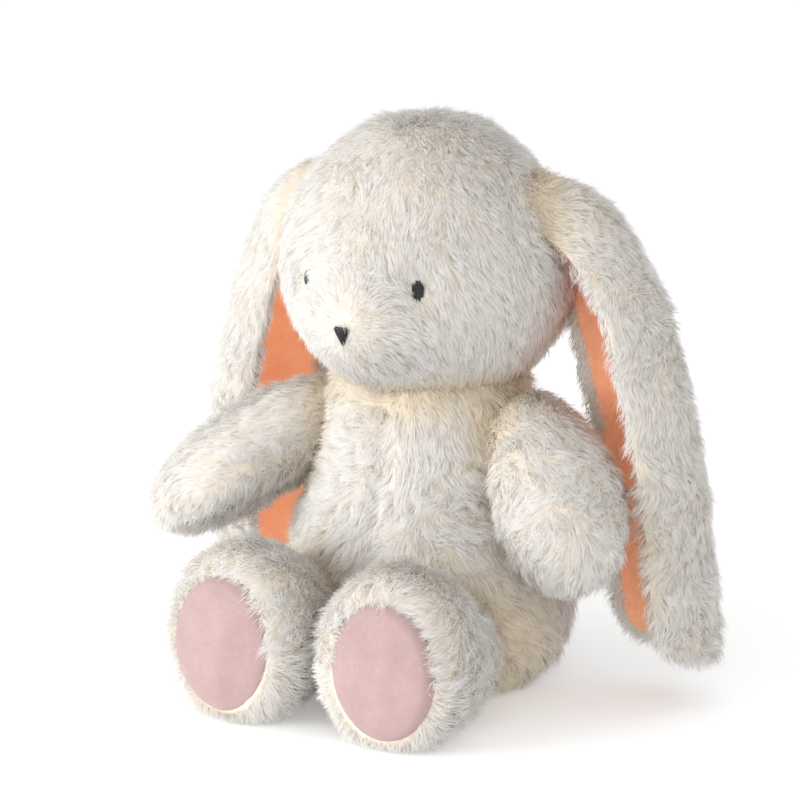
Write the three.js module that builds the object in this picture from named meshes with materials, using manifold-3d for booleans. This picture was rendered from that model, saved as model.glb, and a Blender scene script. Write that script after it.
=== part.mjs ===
// A sitting stuffed bunny rabbit with long drooping ears, as the separate pieces it is sewn from.
// Millimetres, +Z up. The bunny faces -Y, its own left is +X, and the origin is the middle of its flat seat.
import * as THREE from "three";
import { mergeVertices } from "three/addons/utils/BufferGeometryUtils.js";
import Module from "manifold-3d";

const wasm = await Module();
wasm.setup();

// ---- Driving dimensions --------------------------------------------------------------------------------

const FABRIC = 3; // fur fabric with its pile pressed flat
const GAP = 0.5; // between pieces that touch
const EAR_GAP = 1; // between an ear's root and the head
const CORE_GAP = 1.6; // round the big stuffings, whose faces are coarser
const SEAM = 0.4; // between two panels sewn edge to edge
const ROOM = 2.5; // left free in the torso all round a limb's swing
const REACH = 400; // longer than the whole bunny
const HEAD_GRID = [24, 16]; // faces round and along each soft shape
const CORE_GRID = [14, 10];
const TORSO_GRID = [22, 16];
const LIMB_GRID = [14, 12];
const ROOM_GRID = [10, 8];
const SMALL_GRID = [10, 6];
const SWING_STEPS = 2; // positions of a limb that its room in the torso is made from
const EAR_STEPS = 8;
const EAR_GRID = [8, 14];

const HEAD_CENTRE = new THREE.Vector3(0, -3, 204);
const HEAD_RADII = new THREE.Vector3(70, 61, 67);
const CHEEK_FLARE = 0.06; // how much wider the head is low down than high up
const SNOUT_DROP = THREE.MathUtils.degToRad(16); // below level, seen from the middle of the head
const SNOUT_LENGTH = 22;
const SNOUT_SPREAD = THREE.MathUtils.degToRad(21);
const GUSSET_HALF_WIDTH = 23;
const NOSE_SIZE = new THREE.Vector3(5, 2.2, 4.5);
const EYE_DIRECTION = new THREE.Vector3(0.43, -0.9, -0.03);
const EYE_SIZE = new THREE.Vector3(3.1, 1.8, 4.4);

const NECK_PIVOT = new THREE.Vector3(0, 0, 140);
const NECK_RADIUS = 42; // of the round hollow in the head that the torso's neck turns in
const NECK_TOP = 165; // where the torso's fur ends, inside the head
const NECK_THREAD_RADIUS = 1.1;

const TORSO_DEPTH = 0.92; // front to back, as a share of the width
const TORSO_PROFILE = [
  [0, 150],
  [30, 149],
  [47, 136],
  [53, 108],
  [60, 84],
  [67, 58],
  [69, 38],
  [64, 17],
  [52, 3],
  [38, -4],
  [0, -6],
]; // half-width and height, from the neck to the seat
const SEAT_TOP = 8; // the seat panel's edge
const POUCH_RADII = new THREE.Vector3(34, 28, 15);
const POUCH_CENTRE = new THREE.Vector3(0, 10, 10);
const TAIL_RADIUS = 19;
const TAIL_CENTRE = new THREE.Vector3(0, 70, 34);

const ARM_PIVOT = new THREE.Vector3(46, -4, 126);
const ARM_WIDTHS = [20, 24, 28, 32, 33]; // half-widths from the shoulder to the paw
const ARM_DEPTHS = [19, 21, 22, 23, 23];
const LEFT_ARM_AXIS = [
  [37, 2, 140],
  [62, -10, 122],
  [82, -24, 98],
  [96, -36, 61],
];
const RIGHT_ARM_AXIS = [
  [-32, 7, 134],
  [-60, -15, 119],
  [-89, -38, 98],
  [-117, -62, 74],
];
const LEFT_ARM_SWING = [-6, 75]; // degrees, back and then forward
const RIGHT_ARM_SWING = [-25, 40];

const LEG_PIVOT = new THREE.Vector3(37, -44, 32);
const LEG_AXIS = [
  [36, -18, 31],
  [38, -55, 32],
  [40, -90, 37],
  [42, -121, 41],
];
const LEG_WIDTHS = [24, 27, 32, 37, 37]; // half-widths from the hip to the sole
const LEG_HEIGHTS = [24, 27, 34, 43, 43];
const LEG_SWING = [-10, 35]; // degrees, up and then down
const PAD_RADII = new THREE.Vector2(26, 32);
const PAD_DROP = 4; // the pad's middle, below the middle of the foot

const EAR_PIVOT = new THREE.Vector3(54, 4, 239);
const EAR_LIFT = 100; // degrees, outwards and up
const EAR_TWISTS = { left: 32, right: 0 }; // degrees, of the hanging ear about +Z, from its root
const EAR_AXES = {
  left: [
    [38, 3, 241],
    [54, 4, 240],
    [69, 7, 236.5],
    [83, 10, 229],
    [95, 14, 214],
    [105, 17, 194],
    [113, 19, 170],
    [121, 21, 140],
    [127, 23, 108],
    [131, 24, 76],
    [134, 25, 48],
    [135, 26, 22],
  ],
  right: [
    [38, 3, 241],
    [54, 4, 240],
    [69, 7, 236.5],
    [84, 11, 228],
    [96, 15, 212],
    [107, 18, 193],
    [117, 21, 168],
    [126, 23, 142],
    [132, 25, 118],
    [135, 26, 94],
    [134, 26, 70],
    [131, 26, 46],
    [127, 26, 22],
  ],
}; // the ear's ridge, from its root over the head and down to the tip; both as on the left side
const EAR_WIDTHS = [60, 68, 78, 84, 88, 90, 92];
const EAR_FOLDS = [10, 10, 11, 11, 11, 11, 12]; // the radius of the ridge, along which the ear is folded
const EAR_RIDGE_SHIFT = 7; // the ridge lies nearer to the front edge
const EAR_FUR = 5; // the fur layer, outwards
const EAR_RIM = 3; // how far the rolled fur edge stands in past the lining's back
const EAR_RIM_WIDTH = 8;
const LINING_START = 36; // from the ear's pivot
const LINING = 2.4;

// ---- Materials -------------------------------------------------------------------------------------------

const fur = new THREE.MeshStandardMaterial({ color: 0xf3efe6, roughness: 0.95, metalness: 0 });
const lining = new THREE.MeshStandardMaterial({ color: 0xf3a078, roughness: 0.8, metalness: 0 });
const padVelour = new THREE.MeshStandardMaterial({ color: 0xe7bfc0, roughness: 0.85, metalness: 0 });
const blackThread = new THREE.MeshStandardMaterial({ color: 0x17171a, roughness: 0.4, metalness: 0 });
const whiteThread = new THREE.MeshStandardMaterial({ color: 0xece7db, roughness: 0.6, metalness: 0 });
const stuffing = new THREE.MeshStandardMaterial({ color: 0xfafafa, roughness: 1, metalness: 0 });
const pouchCloth = new THREE.MeshStandardMaterial({ color: 0xddd8cc, roughness: 0.9, metalness: 0 });

// ---- Solids ----------------------------------------------------------------------------------------------

// A closed geometry as a solid, with shared vertices merged and collapsed faces left out.
function solidOf(geometry) {
  const bare = geometry.clone();
  bare.deleteAttribute("normal");
  bare.deleteAttribute("uv");
  const merged = mergeVertices(bare, 1e-3);
  const corners = merged.index.array;
  const kept = [];
  for (let i = 0; i < corners.length; i += 3) {
    const [a, b, c] = corners.slice(i, i + 3);
    if (a !== b && b !== c && c !== a) kept.push(a, b, c);
  }
  const vertProperties = new Float32Array(merged.attributes.position.array);
  return new wasm.Manifold(new wasm.Mesh({ numProp: 3, vertProperties, triVerts: new Uint32Array(kept) }));
}

// A solid as a three.js geometry, moved by minus the given point.
function geometryOf(solid, origin) {
  const mesh = solid.getMesh();
  const geometry = new THREE.BufferGeometry();
  geometry.setAttribute("position", new THREE.BufferAttribute(mesh.vertProperties, mesh.numProp));
  geometry.setIndex(new THREE.BufferAttribute(mesh.triVerts, 1));
  geometry.translate(-origin.x, -origin.y, -origin.z);
  geometry.computeVertexNormals();
  return geometry;
}

// The biggest of the separate bodies that a cut leaves.
function biggest(solid) {
  return solid.decompose().reduce((best, body) => (body.volume() > best.volume() ? body : best));
}

// A sphere whose every unit direction is sent to its place by a function, as one solid.
function blob(place, inset, [around, along]) {
  const geometry = new THREE.SphereGeometry(1, around, along);
  geometry.rotateX(Math.PI / 2);
  const position = geometry.attributes.position;
  const direction = new THREE.Vector3();
  for (let i = 0; i < position.count; i++) {
    direction.fromBufferAttribute(position, i).normalize();
    const point = place(direction, inset);
    position.setXYZ(i, point.x, point.y, point.z);
  }
  return solidOf(geometry);
}

function ball(centre, radius, grid) {
  return blob((n) => n.clone().multiplyScalar(radius).add(centre), 0, grid);
}

// Everything on the side of a plane that its normal points to.
function halfSpace(point, normal) {
  const geometry = new THREE.BoxGeometry(2 * REACH, 2 * REACH, 2 * REACH);
  geometry.translate(0, 0, REACH);
  geometry.applyQuaternion(new THREE.Quaternion().setFromUnitVectors(AXIS_Z, normal.clone().normalize()));
  geometry.translate(point.x, point.y, point.z);
  return solidOf(geometry);
}

// The part of a solid on each side of a plane, with a seam's gap between them.
function split(solid, point, normal) {
  const unit = normal.clone().normalize();
  const ahead = point.clone().addScaledVector(unit, SEAM / 2);
  const behind = point.clone().addScaledVector(unit, -SEAM / 2);
  return [solid.intersect(halfSpace(ahead, unit)), solid.intersect(halfSpace(behind, unit.clone().negate()))];
}

// A solid turned by some degrees about an axis through a point.
function turned(solid, pivot, axis, degrees) {
  const moved = solid.translate([-pivot.x, -pivot.y, -pivot.z]);
  const turns = axis.clone().multiplyScalar(degrees).toArray();
  return moved.rotate(turns).translate([pivot.x, pivot.y, pivot.z]);
}

// Everything that a solid passes through as it swings about an axis through a point.
function swept(solid, pivot, axis, range, steps) {
  let all = solid;
  for (let step = 0; step <= steps; step++) {
    const angle = range[0] + ((range[1] - range[0]) * step) / steps;
    all = all.add(turned(solid, pivot, axis, angle));
  }
  return all;
}

const AXIS_X = new THREE.Vector3(1, 0, 0);
const AXIS_Y = new THREE.Vector3(0, 1, 0);
const AXIS_Z = new THREE.Vector3(0, 0, 1);

// A smooth function from 0..1 through evenly spaced values.
function smoothValues(values) {
  const points = values.map((value, i) => new THREE.Vector2(i, value));
  const curve = new THREE.SplineCurve(points);
  return (share) => curve.getPoint(THREE.MathUtils.clamp(share, 0, 1)).y;
}

function curveThrough(points) {
  return new THREE.CatmullRomCurve3(points.map((p) => new THREE.Vector3(...p)), false, "centripetal");
}

function mirrored(vector, side) {
  return new THREE.Vector3(side * vector.x, vector.y, vector.z);
}

// ---- Head ------------------------------------------------------------------------------------------------

const snoutDirection = new THREE.Vector3(0, -Math.cos(SNOUT_DROP), -Math.sin(SNOUT_DROP));

// An egg, wider at the cheeks, with a soft bump for the snout.
function headPoint(n, inset) {
  const swell = 1 - CHEEK_FLARE * n.z;
  const point = new THREE.Vector3(
    n.x * (HEAD_RADII.x - inset) * swell,
    n.y * (HEAD_RADII.y - inset),
    n.z * (HEAD_RADII.z - inset),
  );
  const angle = n.angleTo(snoutDirection) / SNOUT_SPREAD;
  return point.addScaledVector(snoutDirection, SNOUT_LENGTH * Math.exp(-0.5 * angle * angle)).add(HEAD_CENTRE);
}

function makeHead() {
  const outer = blob(headPoint, 0, HEAD_GRID);
  const hollow = blob(headPoint, FABRIC, HEAD_GRID);
  const core = blob(headPoint, FABRIC + CORE_GAP, CORE_GRID);
  const neck = ball(NECK_PIVOT, NECK_RADIUS + GAP, TORSO_GRID);
  const noseCentre = headPoint(snoutDirection, 0);
  const noseSolid = (size) => {
    const place = (n) => n.clone().multiply(NOSE_SIZE).multiplyScalar(size).add(noseCentre);
    return blob(place, 0, SMALL_GRID);
  };
  const pieces = { left_eye: eyeSolid(1, 1), right_eye: eyeSolid(-1, 1), nose_embroidery: noseSolid(1) };
  const skin = outer.subtract(hollow).subtract(neck);
  const faceSkin = skin.subtract(noseSolid(1.15)).subtract(eyeSolid(1, 1.2)).subtract(eyeSolid(-1, 1.2));

  const noseTop = noseCentre.clone().add(new THREE.Vector3(0, 0, NOSE_SIZE.z + 1));
  const gussetBase = new THREE.Vector3(0, 0.18, 1); // the gusset runs from the nose over to the nape
  const [upper, lower] = split(faceSkin, noseTop, gussetBase);
  const [leftUpper, middleAndRight] = split(upper, AXIS_X.clone().multiplyScalar(GUSSET_HALF_WIDTH), AXIS_X);
  const rightEdge = AXIS_X.clone().multiplyScalar(-GUSSET_HALF_WIDTH);
  const [gusset, rightUpper] = split(middleAndRight, rightEdge, AXIS_X);
  const [leftLower, rightLower] = split(lower, new THREE.Vector3(), AXIS_X);
  pieces.head_top_gusset = biggest(gusset);
  pieces.head_side_left = biggest(leftUpper);
  pieces.head_side_right = biggest(rightUpper);
  pieces.cheek_left = biggest(leftLower);
  pieces.cheek_right = biggest(rightLower);
  pieces.head_stuffing = biggest(core.subtract(neck));
  return { pieces, outer };
}

// A satin-stitched eye lying in the fur.
function eyeSolid(side, scale) {
  const direction = mirrored(EYE_DIRECTION, side).normalize();
  const centre = headPoint(direction, 0.4);
  const size = EYE_SIZE.clone().multiplyScalar(scale);
  const turn = new THREE.Quaternion().setFromUnitVectors(AXIS_Y.clone().negate(), direction);
  return blob((n) => n.clone().multiply(size).applyQuaternion(turn).add(centre), 0, SMALL_GRID);
}

// ---- Ears ------------------------------------------------------------------------------------------------

// A sheet along the ear: from one distance to another off its middle surface, and narrower by a margin.
function earSheet(side, low, high, margin) {
  const name = side > 0 ? "left" : "right";
  const ear = {
    axis: curveThrough(EAR_AXES[name]),
    width: smoothValues(EAR_WIDTHS),
    fold: smoothValues(EAR_FOLDS),
    twist: THREE.MathUtils.degToRad(EAR_TWISTS[name]),
  };
  const length = ear.axis.getLength();
  const geometry = new THREE.BoxGeometry(1, 1, 1, ...EAR_GRID, 1);
  const position = geometry.attributes.position;
  for (let i = 0; i < position.count; i++) {
    const along = (position.getY(i) + 0.5) * (1 - margin / length);
    const rise = position.getZ(i) > 0 ? high : low;
    const end = Math.max(0, (along - 0.8) / 0.2); // the tip is rounded off
    const half = (ear.width(along) / 2 - margin) * Math.sqrt(1 - 0.5 * end ** 4);
    const point = earPoint(ear, along, position.getX(i) * 2 * half, rise);
    position.setXYZ(i, side * point.x, point.y, point.z);
  }
  if (side < 0) reverseFaces(geometry);
  return solidOf(geometry);
}

// A point of an ear: a share of the way along it, so far towards its front edge, and so far out of it. Its
// section is a catenary, sharpest at the ridge.
function earPoint(ear, along, across, rise) {
  const share = THREE.MathUtils.clamp(along, 0, 1);
  const point = ear.axis.getPoint(share);
  const tangent = ear.axis.getTangent(share);
  const twist = ear.twist * THREE.MathUtils.smoothstep(along, 0.05, 0.5);
  const front = new THREE.Vector3(Math.sin(twist), -Math.cos(twist), 0);
  front.addScaledVector(tangent, -front.dot(tangent)).normalize();
  const outward = new THREE.Vector3().crossVectors(front, tangent);
  const fold = ear.fold(along);
  const slope = (across - EAR_RIDGE_SHIFT) / fold;
  const stretch = Math.hypot(1, slope);
  point.addScaledVector(front, fold * Math.asinh(slope) + (rise * slope) / stretch);
  return point.addScaledVector(outward, fold * (1 - stretch) + rise / stretch);
}

function reverseFaces(geometry) {
  const corners = geometry.index.array;
  for (let i = 0; i < corners.length; i += 3) {
    const first = corners[i];
    corners[i] = corners[i + 1];
    corners[i + 1] = first;
  }
}

function makeEar(side, headOuter) {
  const whole = earSheet(side, -EAR_RIM, EAR_FUR, 0);
  const pocket = earSheet(side, -EAR_RIM - 2, GAP / 2, EAR_RIM_WIDTH);
  const inner = earSheet(side, -LINING, -GAP / 2, EAR_RIM_WIDTH + GAP);
  const root = ball(mirrored(EAR_PIVOT, side), LINING_START, SMALL_GRID);
  return {
    fur: biggest(whole.subtract(pocket).subtract(headOuter)),
    lining: biggest(inner.subtract(headOuter).subtract(root)),
  };
}

// ---- Limbs -----------------------------------------------------------------------------------------------

// A limb along an axis curve, with half-widths across it and half-depths the other way. Blunt makes flat ends.
function limbPlace(axis, acrossAxis, widths, depths, blunt) {
  const width = smoothValues(widths);
  const depth = smoothValues(depths);
  const length = axis.getLength();
  return (n, inset) => {
    const along = (n.z + 1) / 2;
    const share = THREE.MathUtils.clamp((inset + along * (length - 2 * inset)) / length, 0, 1);
    const power = n.z > 0 ? blunt : 2;
    const round = Math.pow(Math.max(0, 1 - Math.pow(Math.abs(n.z), power)), 1 / power);
    const ring = Math.hypot(n.x, n.y);
    const cosine = ring > 1e-6 ? n.x / ring : 1;
    const sine = ring > 1e-6 ? n.y / ring : 0;
    const tangent = axis.getTangent(share);
    const across = acrossAxis.clone().addScaledVector(tangent, -acrossAxis.dot(tangent)).normalize();
    const through = new THREE.Vector3().crossVectors(tangent, across);
    const point = axis.getPoint(share);
    point.addScaledVector(tangent, -Math.min(0, inset) * n.z);
    point.addScaledVector(across, (width(along) - inset) * round * cosine);
    point.addScaledVector(through, (depth(along) - inset) * round * sine);
    point.z = Math.max(point.z, inset);
    return point;
  };
}

function makeArm(side) {
  const axis = curveThrough(side > 0 ? LEFT_ARM_AXIS : RIGHT_ARM_AXIS);
  const across = side > 0 ? new THREE.Vector3(0.85, 0.5, 0.2) : new THREE.Vector3(-0.64, 0.77, 0);
  const place = limbPlace(axis, across, ARM_WIDTHS, ARM_DEPTHS, 2.3);
  const outer = blob(place, 0, LIMB_GRID);
  const skin = outer.subtract(blob(place, FABRIC, LIMB_GRID));
  const shoulder = mirrored(ARM_PIVOT, side);
  const open = skin.intersect(halfSpace(shoulder, axis.getTangent(0.2)));
  const middle = axis.getPoint(0.5);
  const through = new THREE.Vector3().crossVectors(axis.getTangent(0.5), across);
  const [front, back] = split(open, middle, through);
  return {
    inner: biggest(side > 0 ? front : back),
    outer: biggest(side > 0 ? back : front),
    stuffing: blob(place, FABRIC + GAP, LIMB_GRID),
    room: blob(place, -ROOM, ROOM_GRID),
  };
}

function makeLeg(side) {
  const axis = curveThrough(LEG_AXIS.map(([x, y, z]) => [side * x, y, z]));
  const place = limbPlace(axis, AXIS_X, LEG_WIDTHS, LEG_HEIGHTS, 6);
  const skin = blob(place, 0, LIMB_GRID).subtract(blob(place, FABRIC, LIMB_GRID));
  const sole = axis.getPoint(1);
  const padPlace = new THREE.Vector3(sole.x, sole.y, sole.z - PAD_DROP);
  const pad = skin.intersect(padCutter(padPlace, 0));
  const hip = mirrored(LEG_PIVOT, side);
  const open = skin.subtract(padCutter(padPlace, SEAM)).intersect(halfSpace(hip, AXIS_Y.clone().negate()));
  const [left, right] = split(open, new THREE.Vector3(side * LEG_AXIS[2][0], 0, 0), AXIS_X);
  return {
    inner: biggest(side > 0 ? right : left),
    outer: biggest(side > 0 ? left : right),
    pad: biggest(pad),
    stuffing: blob(place, FABRIC + GAP, LIMB_GRID),
    room: blob(place, -ROOM, ROOM_GRID),
  };
}

// An oval bar through the sole, wider all round by a margin.
function padCutter(centre, margin) {
  const depth = 30;
  const geometry = new THREE.CylinderGeometry(1, 1, depth, 24);
  geometry.scale(PAD_RADII.x + margin, 1, PAD_RADII.y + margin);
  geometry.translate(centre.x, centre.y, centre.z);
  return solidOf(geometry);
}

// ---- Torso -----------------------------------------------------------------------------------------------

const torsoProfile = new THREE.SplineCurve(TORSO_PROFILE.map(([radius, z]) => new THREE.Vector2(radius, z)));

// A pear with a flat seat.
function torsoPoint(n, inset) {
  const share = Math.acos(THREE.MathUtils.clamp(n.z, -1, 1)) / Math.PI;
  const point = torsoProfile.getPoint(share);
  const tangent = torsoProfile.getTangent(share);
  const ring = Math.hypot(n.x, n.y);
  const radius = ring > 1e-6 ? Math.max(point.x + tangent.y * inset, 0.5 * ring) : 0;
  const z = Math.max(point.y - tangent.x * inset, inset);
  const aside = ring > 1e-6 ? n.x / ring : 0;
  const ahead = ring > 1e-6 ? n.y / ring : 0;
  return new THREE.Vector3(radius * aside, TORSO_DEPTH * radius * ahead, z);
}

function torsoSolid(inset, grid = TORSO_GRID) {
  return blob(torsoPoint, inset, grid).add(ball(NECK_PIVOT, NECK_RADIUS - inset - GAP / 2, grid));
}

function makeTorso(rooms) {
  const pieces = {};
  const outer = torsoSolid(0);
  let skin = outer.subtract(torsoSolid(FABRIC));
  let core = torsoSolid(FABRIC + CORE_GAP, CORE_GRID);
  const tailRoom = torsoSolid(-GAP);
  for (const room of rooms) {
    skin = skin.subtract(room);
    core = core.subtract(room);
  }
  const neckTop = new THREE.Vector3(0, 0, NECK_TOP);
  skin = skin.intersect(halfSpace(neckTop, AXIS_Z.clone().negate()));
  const [above, seat] = split(skin, AXIS_Z.clone().multiplyScalar(SEAT_TOP), AXIS_Z);
  const [back, front] = split(above, new THREE.Vector3(), AXIS_Y);
  const [frontLeft, frontRight] = split(front, new THREE.Vector3(), AXIS_X);
  const [backLeft, backRight] = split(back, new THREE.Vector3(), AXIS_X);
  pieces.torso_front_left = biggest(frontLeft);
  pieces.torso_front_right = biggest(frontRight);
  pieces.torso_back_left = biggest(backLeft);
  pieces.torso_back_right = biggest(backRight);
  pieces.seat_panel = biggest(seat);

  const pouch = (grow) => {
    const place = (n) => n.clone().multiply(POUCH_RADII).addScaledVector(n, grow).add(POUCH_CENTRE);
    return blob(place, 0, SMALL_GRID);
  };
  const aboveSeat = halfSpace(new THREE.Vector3(0, 0, FABRIC + GAP), AXIS_Z);
  pieces.seat_pellet_pouch = pouch(0).intersect(aboveSeat);
  pieces.torso_stuffing = biggest(core.subtract(pouch(GAP)));

  const tail = ball(TAIL_CENTRE, TAIL_RADIUS, SMALL_GRID).subtract(tailRoom);
  pieces.tail_fur = biggest(tail.subtract(ball(TAIL_CENTRE, TAIL_RADIUS - FABRIC, SMALL_GRID)));
  const tailCore = ball(TAIL_CENTRE, TAIL_RADIUS - FABRIC - GAP, SMALL_GRID);
  pieces.tail_stuffing = biggest(tailCore.subtract(tailRoom));
  return pieces;
}

// The thread that gathers the top of the torso, lying round its dome inside the head.
function neckThread() {
  const distance = NECK_RADIUS - 2.2;
  const height = NECK_TOP + 3 - NECK_PIVOT.z;
  const centre = new THREE.Vector2(Math.sqrt(distance ** 2 - height ** 2), height);
  const profile = [];
  const sides = 6;
  for (let i = 0; i <= sides; i++) {
    const angle = (2 * Math.PI * i) / sides;
    const spoke = new THREE.Vector2(Math.cos(angle), Math.sin(angle)).multiplyScalar(NECK_THREAD_RADIUS);
    profile.push(spoke.add(centre));
  }
  const geometry = new THREE.LatheGeometry(profile, 20);
  geometry.rotateX(Math.PI / 2);
  geometry.translate(NECK_PIVOT.x, NECK_PIVOT.y, NECK_PIVOT.z);
  return solidOf(geometry);
}

// ---- The bunny -------------------------------------------------------------------------------------------

// A group standing at a joint, inside the group of the body that holds it.
function bodyAt(holder, point) {
  const body = new THREE.Group();
  body.position.copy(point).sub(holder.userData.place);
  body.userData.place = point.clone();
  holder.add(body);
  return body;
}

function addPiece(body, name, solid, material) {
  const mesh = new THREE.Mesh(geometryOf(solid, body.userData.place), material.clone());
  mesh.name = name;
  body.add(mesh);
}

const MATERIAL_OF = {
  left_eye: blackThread,
  right_eye: blackThread,
  nose_embroidery: blackThread,
  head_stuffing: stuffing,
  torso_stuffing: stuffing,
  tail_stuffing: stuffing,
  seat_pellet_pouch: pouchCloth,
};

const bunny = new THREE.Group();
bunny.userData.place = new THREE.Vector3();
const neckBody = bodyAt(bunny, NECK_PIVOT);
const headBody = bodyAt(neckBody, NECK_PIVOT);
const rooms = [];

for (const side of [1, -1]) {
  const name = side > 0 ? "left" : "right";
  const arm = makeArm(side);
  const armPivot = mirrored(ARM_PIVOT, side);
  const armSwing = (side > 0 ? LEFT_ARM_SWING : RIGHT_ARM_SWING).map((angle) => -angle);
  rooms.push(swept(arm.room, armPivot, AXIS_X, armSwing, SWING_STEPS));
  const armBody = bodyAt(bunny, armPivot);
  addPiece(armBody, `${name}_arm_inner_fur`, arm.inner, fur);
  addPiece(armBody, `${name}_arm_outer_fur`, arm.outer, fur);
  addPiece(armBody, `${name}_arm_stuffing`, arm.stuffing, stuffing);

  const leg = makeLeg(side);
  const legPivot = mirrored(LEG_PIVOT, side);
  rooms.push(swept(leg.room, legPivot, AXIS_X, LEG_SWING, SWING_STEPS));
  const legBody = bodyAt(bunny, legPivot);
  addPiece(legBody, `${name}_leg_inner_fur`, leg.inner, fur);
  addPiece(legBody, `${name}_leg_outer_fur`, leg.outer, fur);
  addPiece(legBody, `${name}_foot_pad`, leg.pad, padVelour);
  addPiece(legBody, `${name}_leg_stuffing`, leg.stuffing, stuffing);
}

addPiece(neckBody, "neck_gather_thread", neckThread(), whiteThread);
const head = makeHead();
for (const [name, solid] of Object.entries(head.pieces)) {
  addPiece(headBody, name, solid, MATERIAL_OF[name] || fur);
}
for (const [name, solid] of Object.entries(makeTorso(rooms))) {
  addPiece(bunny, name, solid, MATERIAL_OF[name] || fur);
}
const headRoom = blob(headPoint, -EAR_GAP, HEAD_GRID);
for (const side of [1, -1]) {
  const name = side > 0 ? "left" : "right";
  const earPivot = mirrored(EAR_PIVOT, side);
  const ear = makeEar(side, swept(headRoom, earPivot, AXIS_Y, [0, side * EAR_LIFT], EAR_STEPS));
  const earBody = bodyAt(headBody, earPivot);
  addPiece(earBody, `${name}_ear_fur`, ear.fur, fur);
  addPiece(earBody, `${name}_ear_lining`, ear.lining, lining);
}

export default bunny;
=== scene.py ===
"""A sitting stuffed bunny rabbit in long ivory plush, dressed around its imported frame.

Every soft part is worked out as a surface with numpy, stuffed by a short cloth simulation, and grown over
with fur: tapered blades of fibre that lean, gather into tufts and part at the seams. All sizes are metres.
"""

import logging
import math
from collections.abc import Callable
from dataclasses import dataclass, field
from enum import Enum

import bpy
import numpy as np
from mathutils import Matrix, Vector
from mathutils.kdtree import KDTree

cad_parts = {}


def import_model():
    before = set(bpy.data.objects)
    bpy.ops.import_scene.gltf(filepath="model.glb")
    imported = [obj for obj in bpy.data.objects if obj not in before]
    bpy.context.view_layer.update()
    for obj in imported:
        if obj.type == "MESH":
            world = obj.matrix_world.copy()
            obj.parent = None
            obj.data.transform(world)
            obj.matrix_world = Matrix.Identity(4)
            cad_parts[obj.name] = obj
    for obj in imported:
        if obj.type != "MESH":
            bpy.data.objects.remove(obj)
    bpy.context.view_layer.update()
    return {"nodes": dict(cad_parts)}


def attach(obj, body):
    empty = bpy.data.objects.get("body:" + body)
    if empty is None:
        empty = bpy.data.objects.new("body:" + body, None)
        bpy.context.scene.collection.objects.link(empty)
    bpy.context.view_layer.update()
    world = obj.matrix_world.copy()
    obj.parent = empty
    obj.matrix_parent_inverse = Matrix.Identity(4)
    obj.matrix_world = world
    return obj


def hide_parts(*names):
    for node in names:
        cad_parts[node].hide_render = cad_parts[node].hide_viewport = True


log = logging.getLogger("bunny")
Array = np.ndarray
UP = np.array([0.0, 0.0, 1.0])
FLOOR_CLEARANCE = 0.0004
SWIRL_WAVES = 7
LEFT_EAR_TWIST = math.radians(32)  # of the hanging ear about the vertical, from its root
BLADE_VERTICES = 5


# ---- Small array tools -------------------------------------------------------------------------------------


def unit(vectors: Array) -> Array:
    """Rows scaled to length one; a row of zeros stays as it is."""
    length = np.linalg.norm(vectors, axis=-1, keepdims=True)
    return vectors / np.maximum(length, 1e-12)


def dot(a: Array, b: Array) -> Array:
    """The dot product of matching rows, kept as a column."""
    return np.sum(a * b, axis=-1, keepdims=True)


def along_surface(vectors: Array, normals: Array) -> Array:
    """The part of each vector that lies in the surface: the vector less its share along the normal."""
    return vectors - dot(vectors, normals) * normals


def step_up(value: Array, low: float, high: float) -> Array:
    """The smooth step 3t^2 - 2t^3, where t is the value's share of the way from low to high.

    Args:
        value: any numbers.
        low: where the step starts, and below which it is 0.
        high: where the step ends, and above which it is 1.

    Returns:
        The step for each value.
    """
    t = np.clip((value - low) / (high - low), 0.0, 1.0)
    return t * t * (3.0 - 2.0 * t)


def bump(distance: Array, width: float) -> Array:
    """The bell curve exp(-(distance / width)^2)."""
    return np.exp(-((distance / width) ** 2))


def spline_through(values: Array, share: Array) -> Array:
    """A uniform Catmull-Rom spline through evenly spaced values.

    Args:
        values: the values, one per row.
        share: places along the spline, from 0 to 1.

    Returns:
        The spline's value at each place, with the same columns as values.
    """
    values = np.asarray(values, dtype=float)
    last = len(values) - 1
    place = np.clip(share, 0.0, 1.0) * last
    start = np.minimum(place.astype(int), last - 1)
    t = place - start
    t = t.reshape(t.shape + (1,) * (values.ndim - 1))
    before = values[np.maximum(start - 1, 0)]
    here = values[start]
    there = values[start + 1]
    after = values[np.minimum(start + 2, last)]
    slope_here = 0.5 * (there - before)
    slope_there = 0.5 * (after - here)
    square = t * t
    cube = square * t
    return (
        (2 * cube - 3 * square + 1) * here
        + (cube - 2 * square + t) * slope_here
        + (3 * square - 2 * cube) * there
        + (cube - square) * slope_there
    )


def swirl(points: Array, scale: float, seed: int) -> Array:
    """A smooth random vector at every point: a sum of plane sine waves about `scale` metres long.

    Args:
        points: the points, one per row.
        scale: about how far apart the waves' crests are.
        seed: picks other waves.

    Returns:
        A vector for each point, whose components stay mostly between -1 and 1.
    """
    rng = np.random.default_rng(seed)
    total = np.zeros_like(points)
    for _ in range(SWIRL_WAVES):
        wave = rng.normal(size=3) * 2 * math.pi / scale * 0.6
        turn = rng.uniform(0, 2 * math.pi, size=3)
        total += np.sin((points @ wave)[:, None] + turn) * unit(rng.normal(size=3))
    return total / 1.8


def hashed(cells: Array, salt: int) -> Array:
    """Three repeatable random numbers in 0..1 for each row of whole numbers, by multiplying and mixing bits."""
    mixed = (cells.astype(np.int64) * np.array([73856093, 19349663, 83492791])).sum(axis=1) + salt * 9176
    out = np.empty((len(cells), 3))
    for column in range(3):
        bits = (mixed + column * 668265263) & 0xFFFFFFFF
        bits = ((bits ^ (bits >> 15)) * 2246822519) & 0xFFFFFFFF
        bits = ((bits ^ (bits >> 13)) * 3266489917) & 0xFFFFFFFF
        out[:, column] = (bits ^ (bits >> 16)) / 0xFFFFFFFF
    return out


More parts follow.
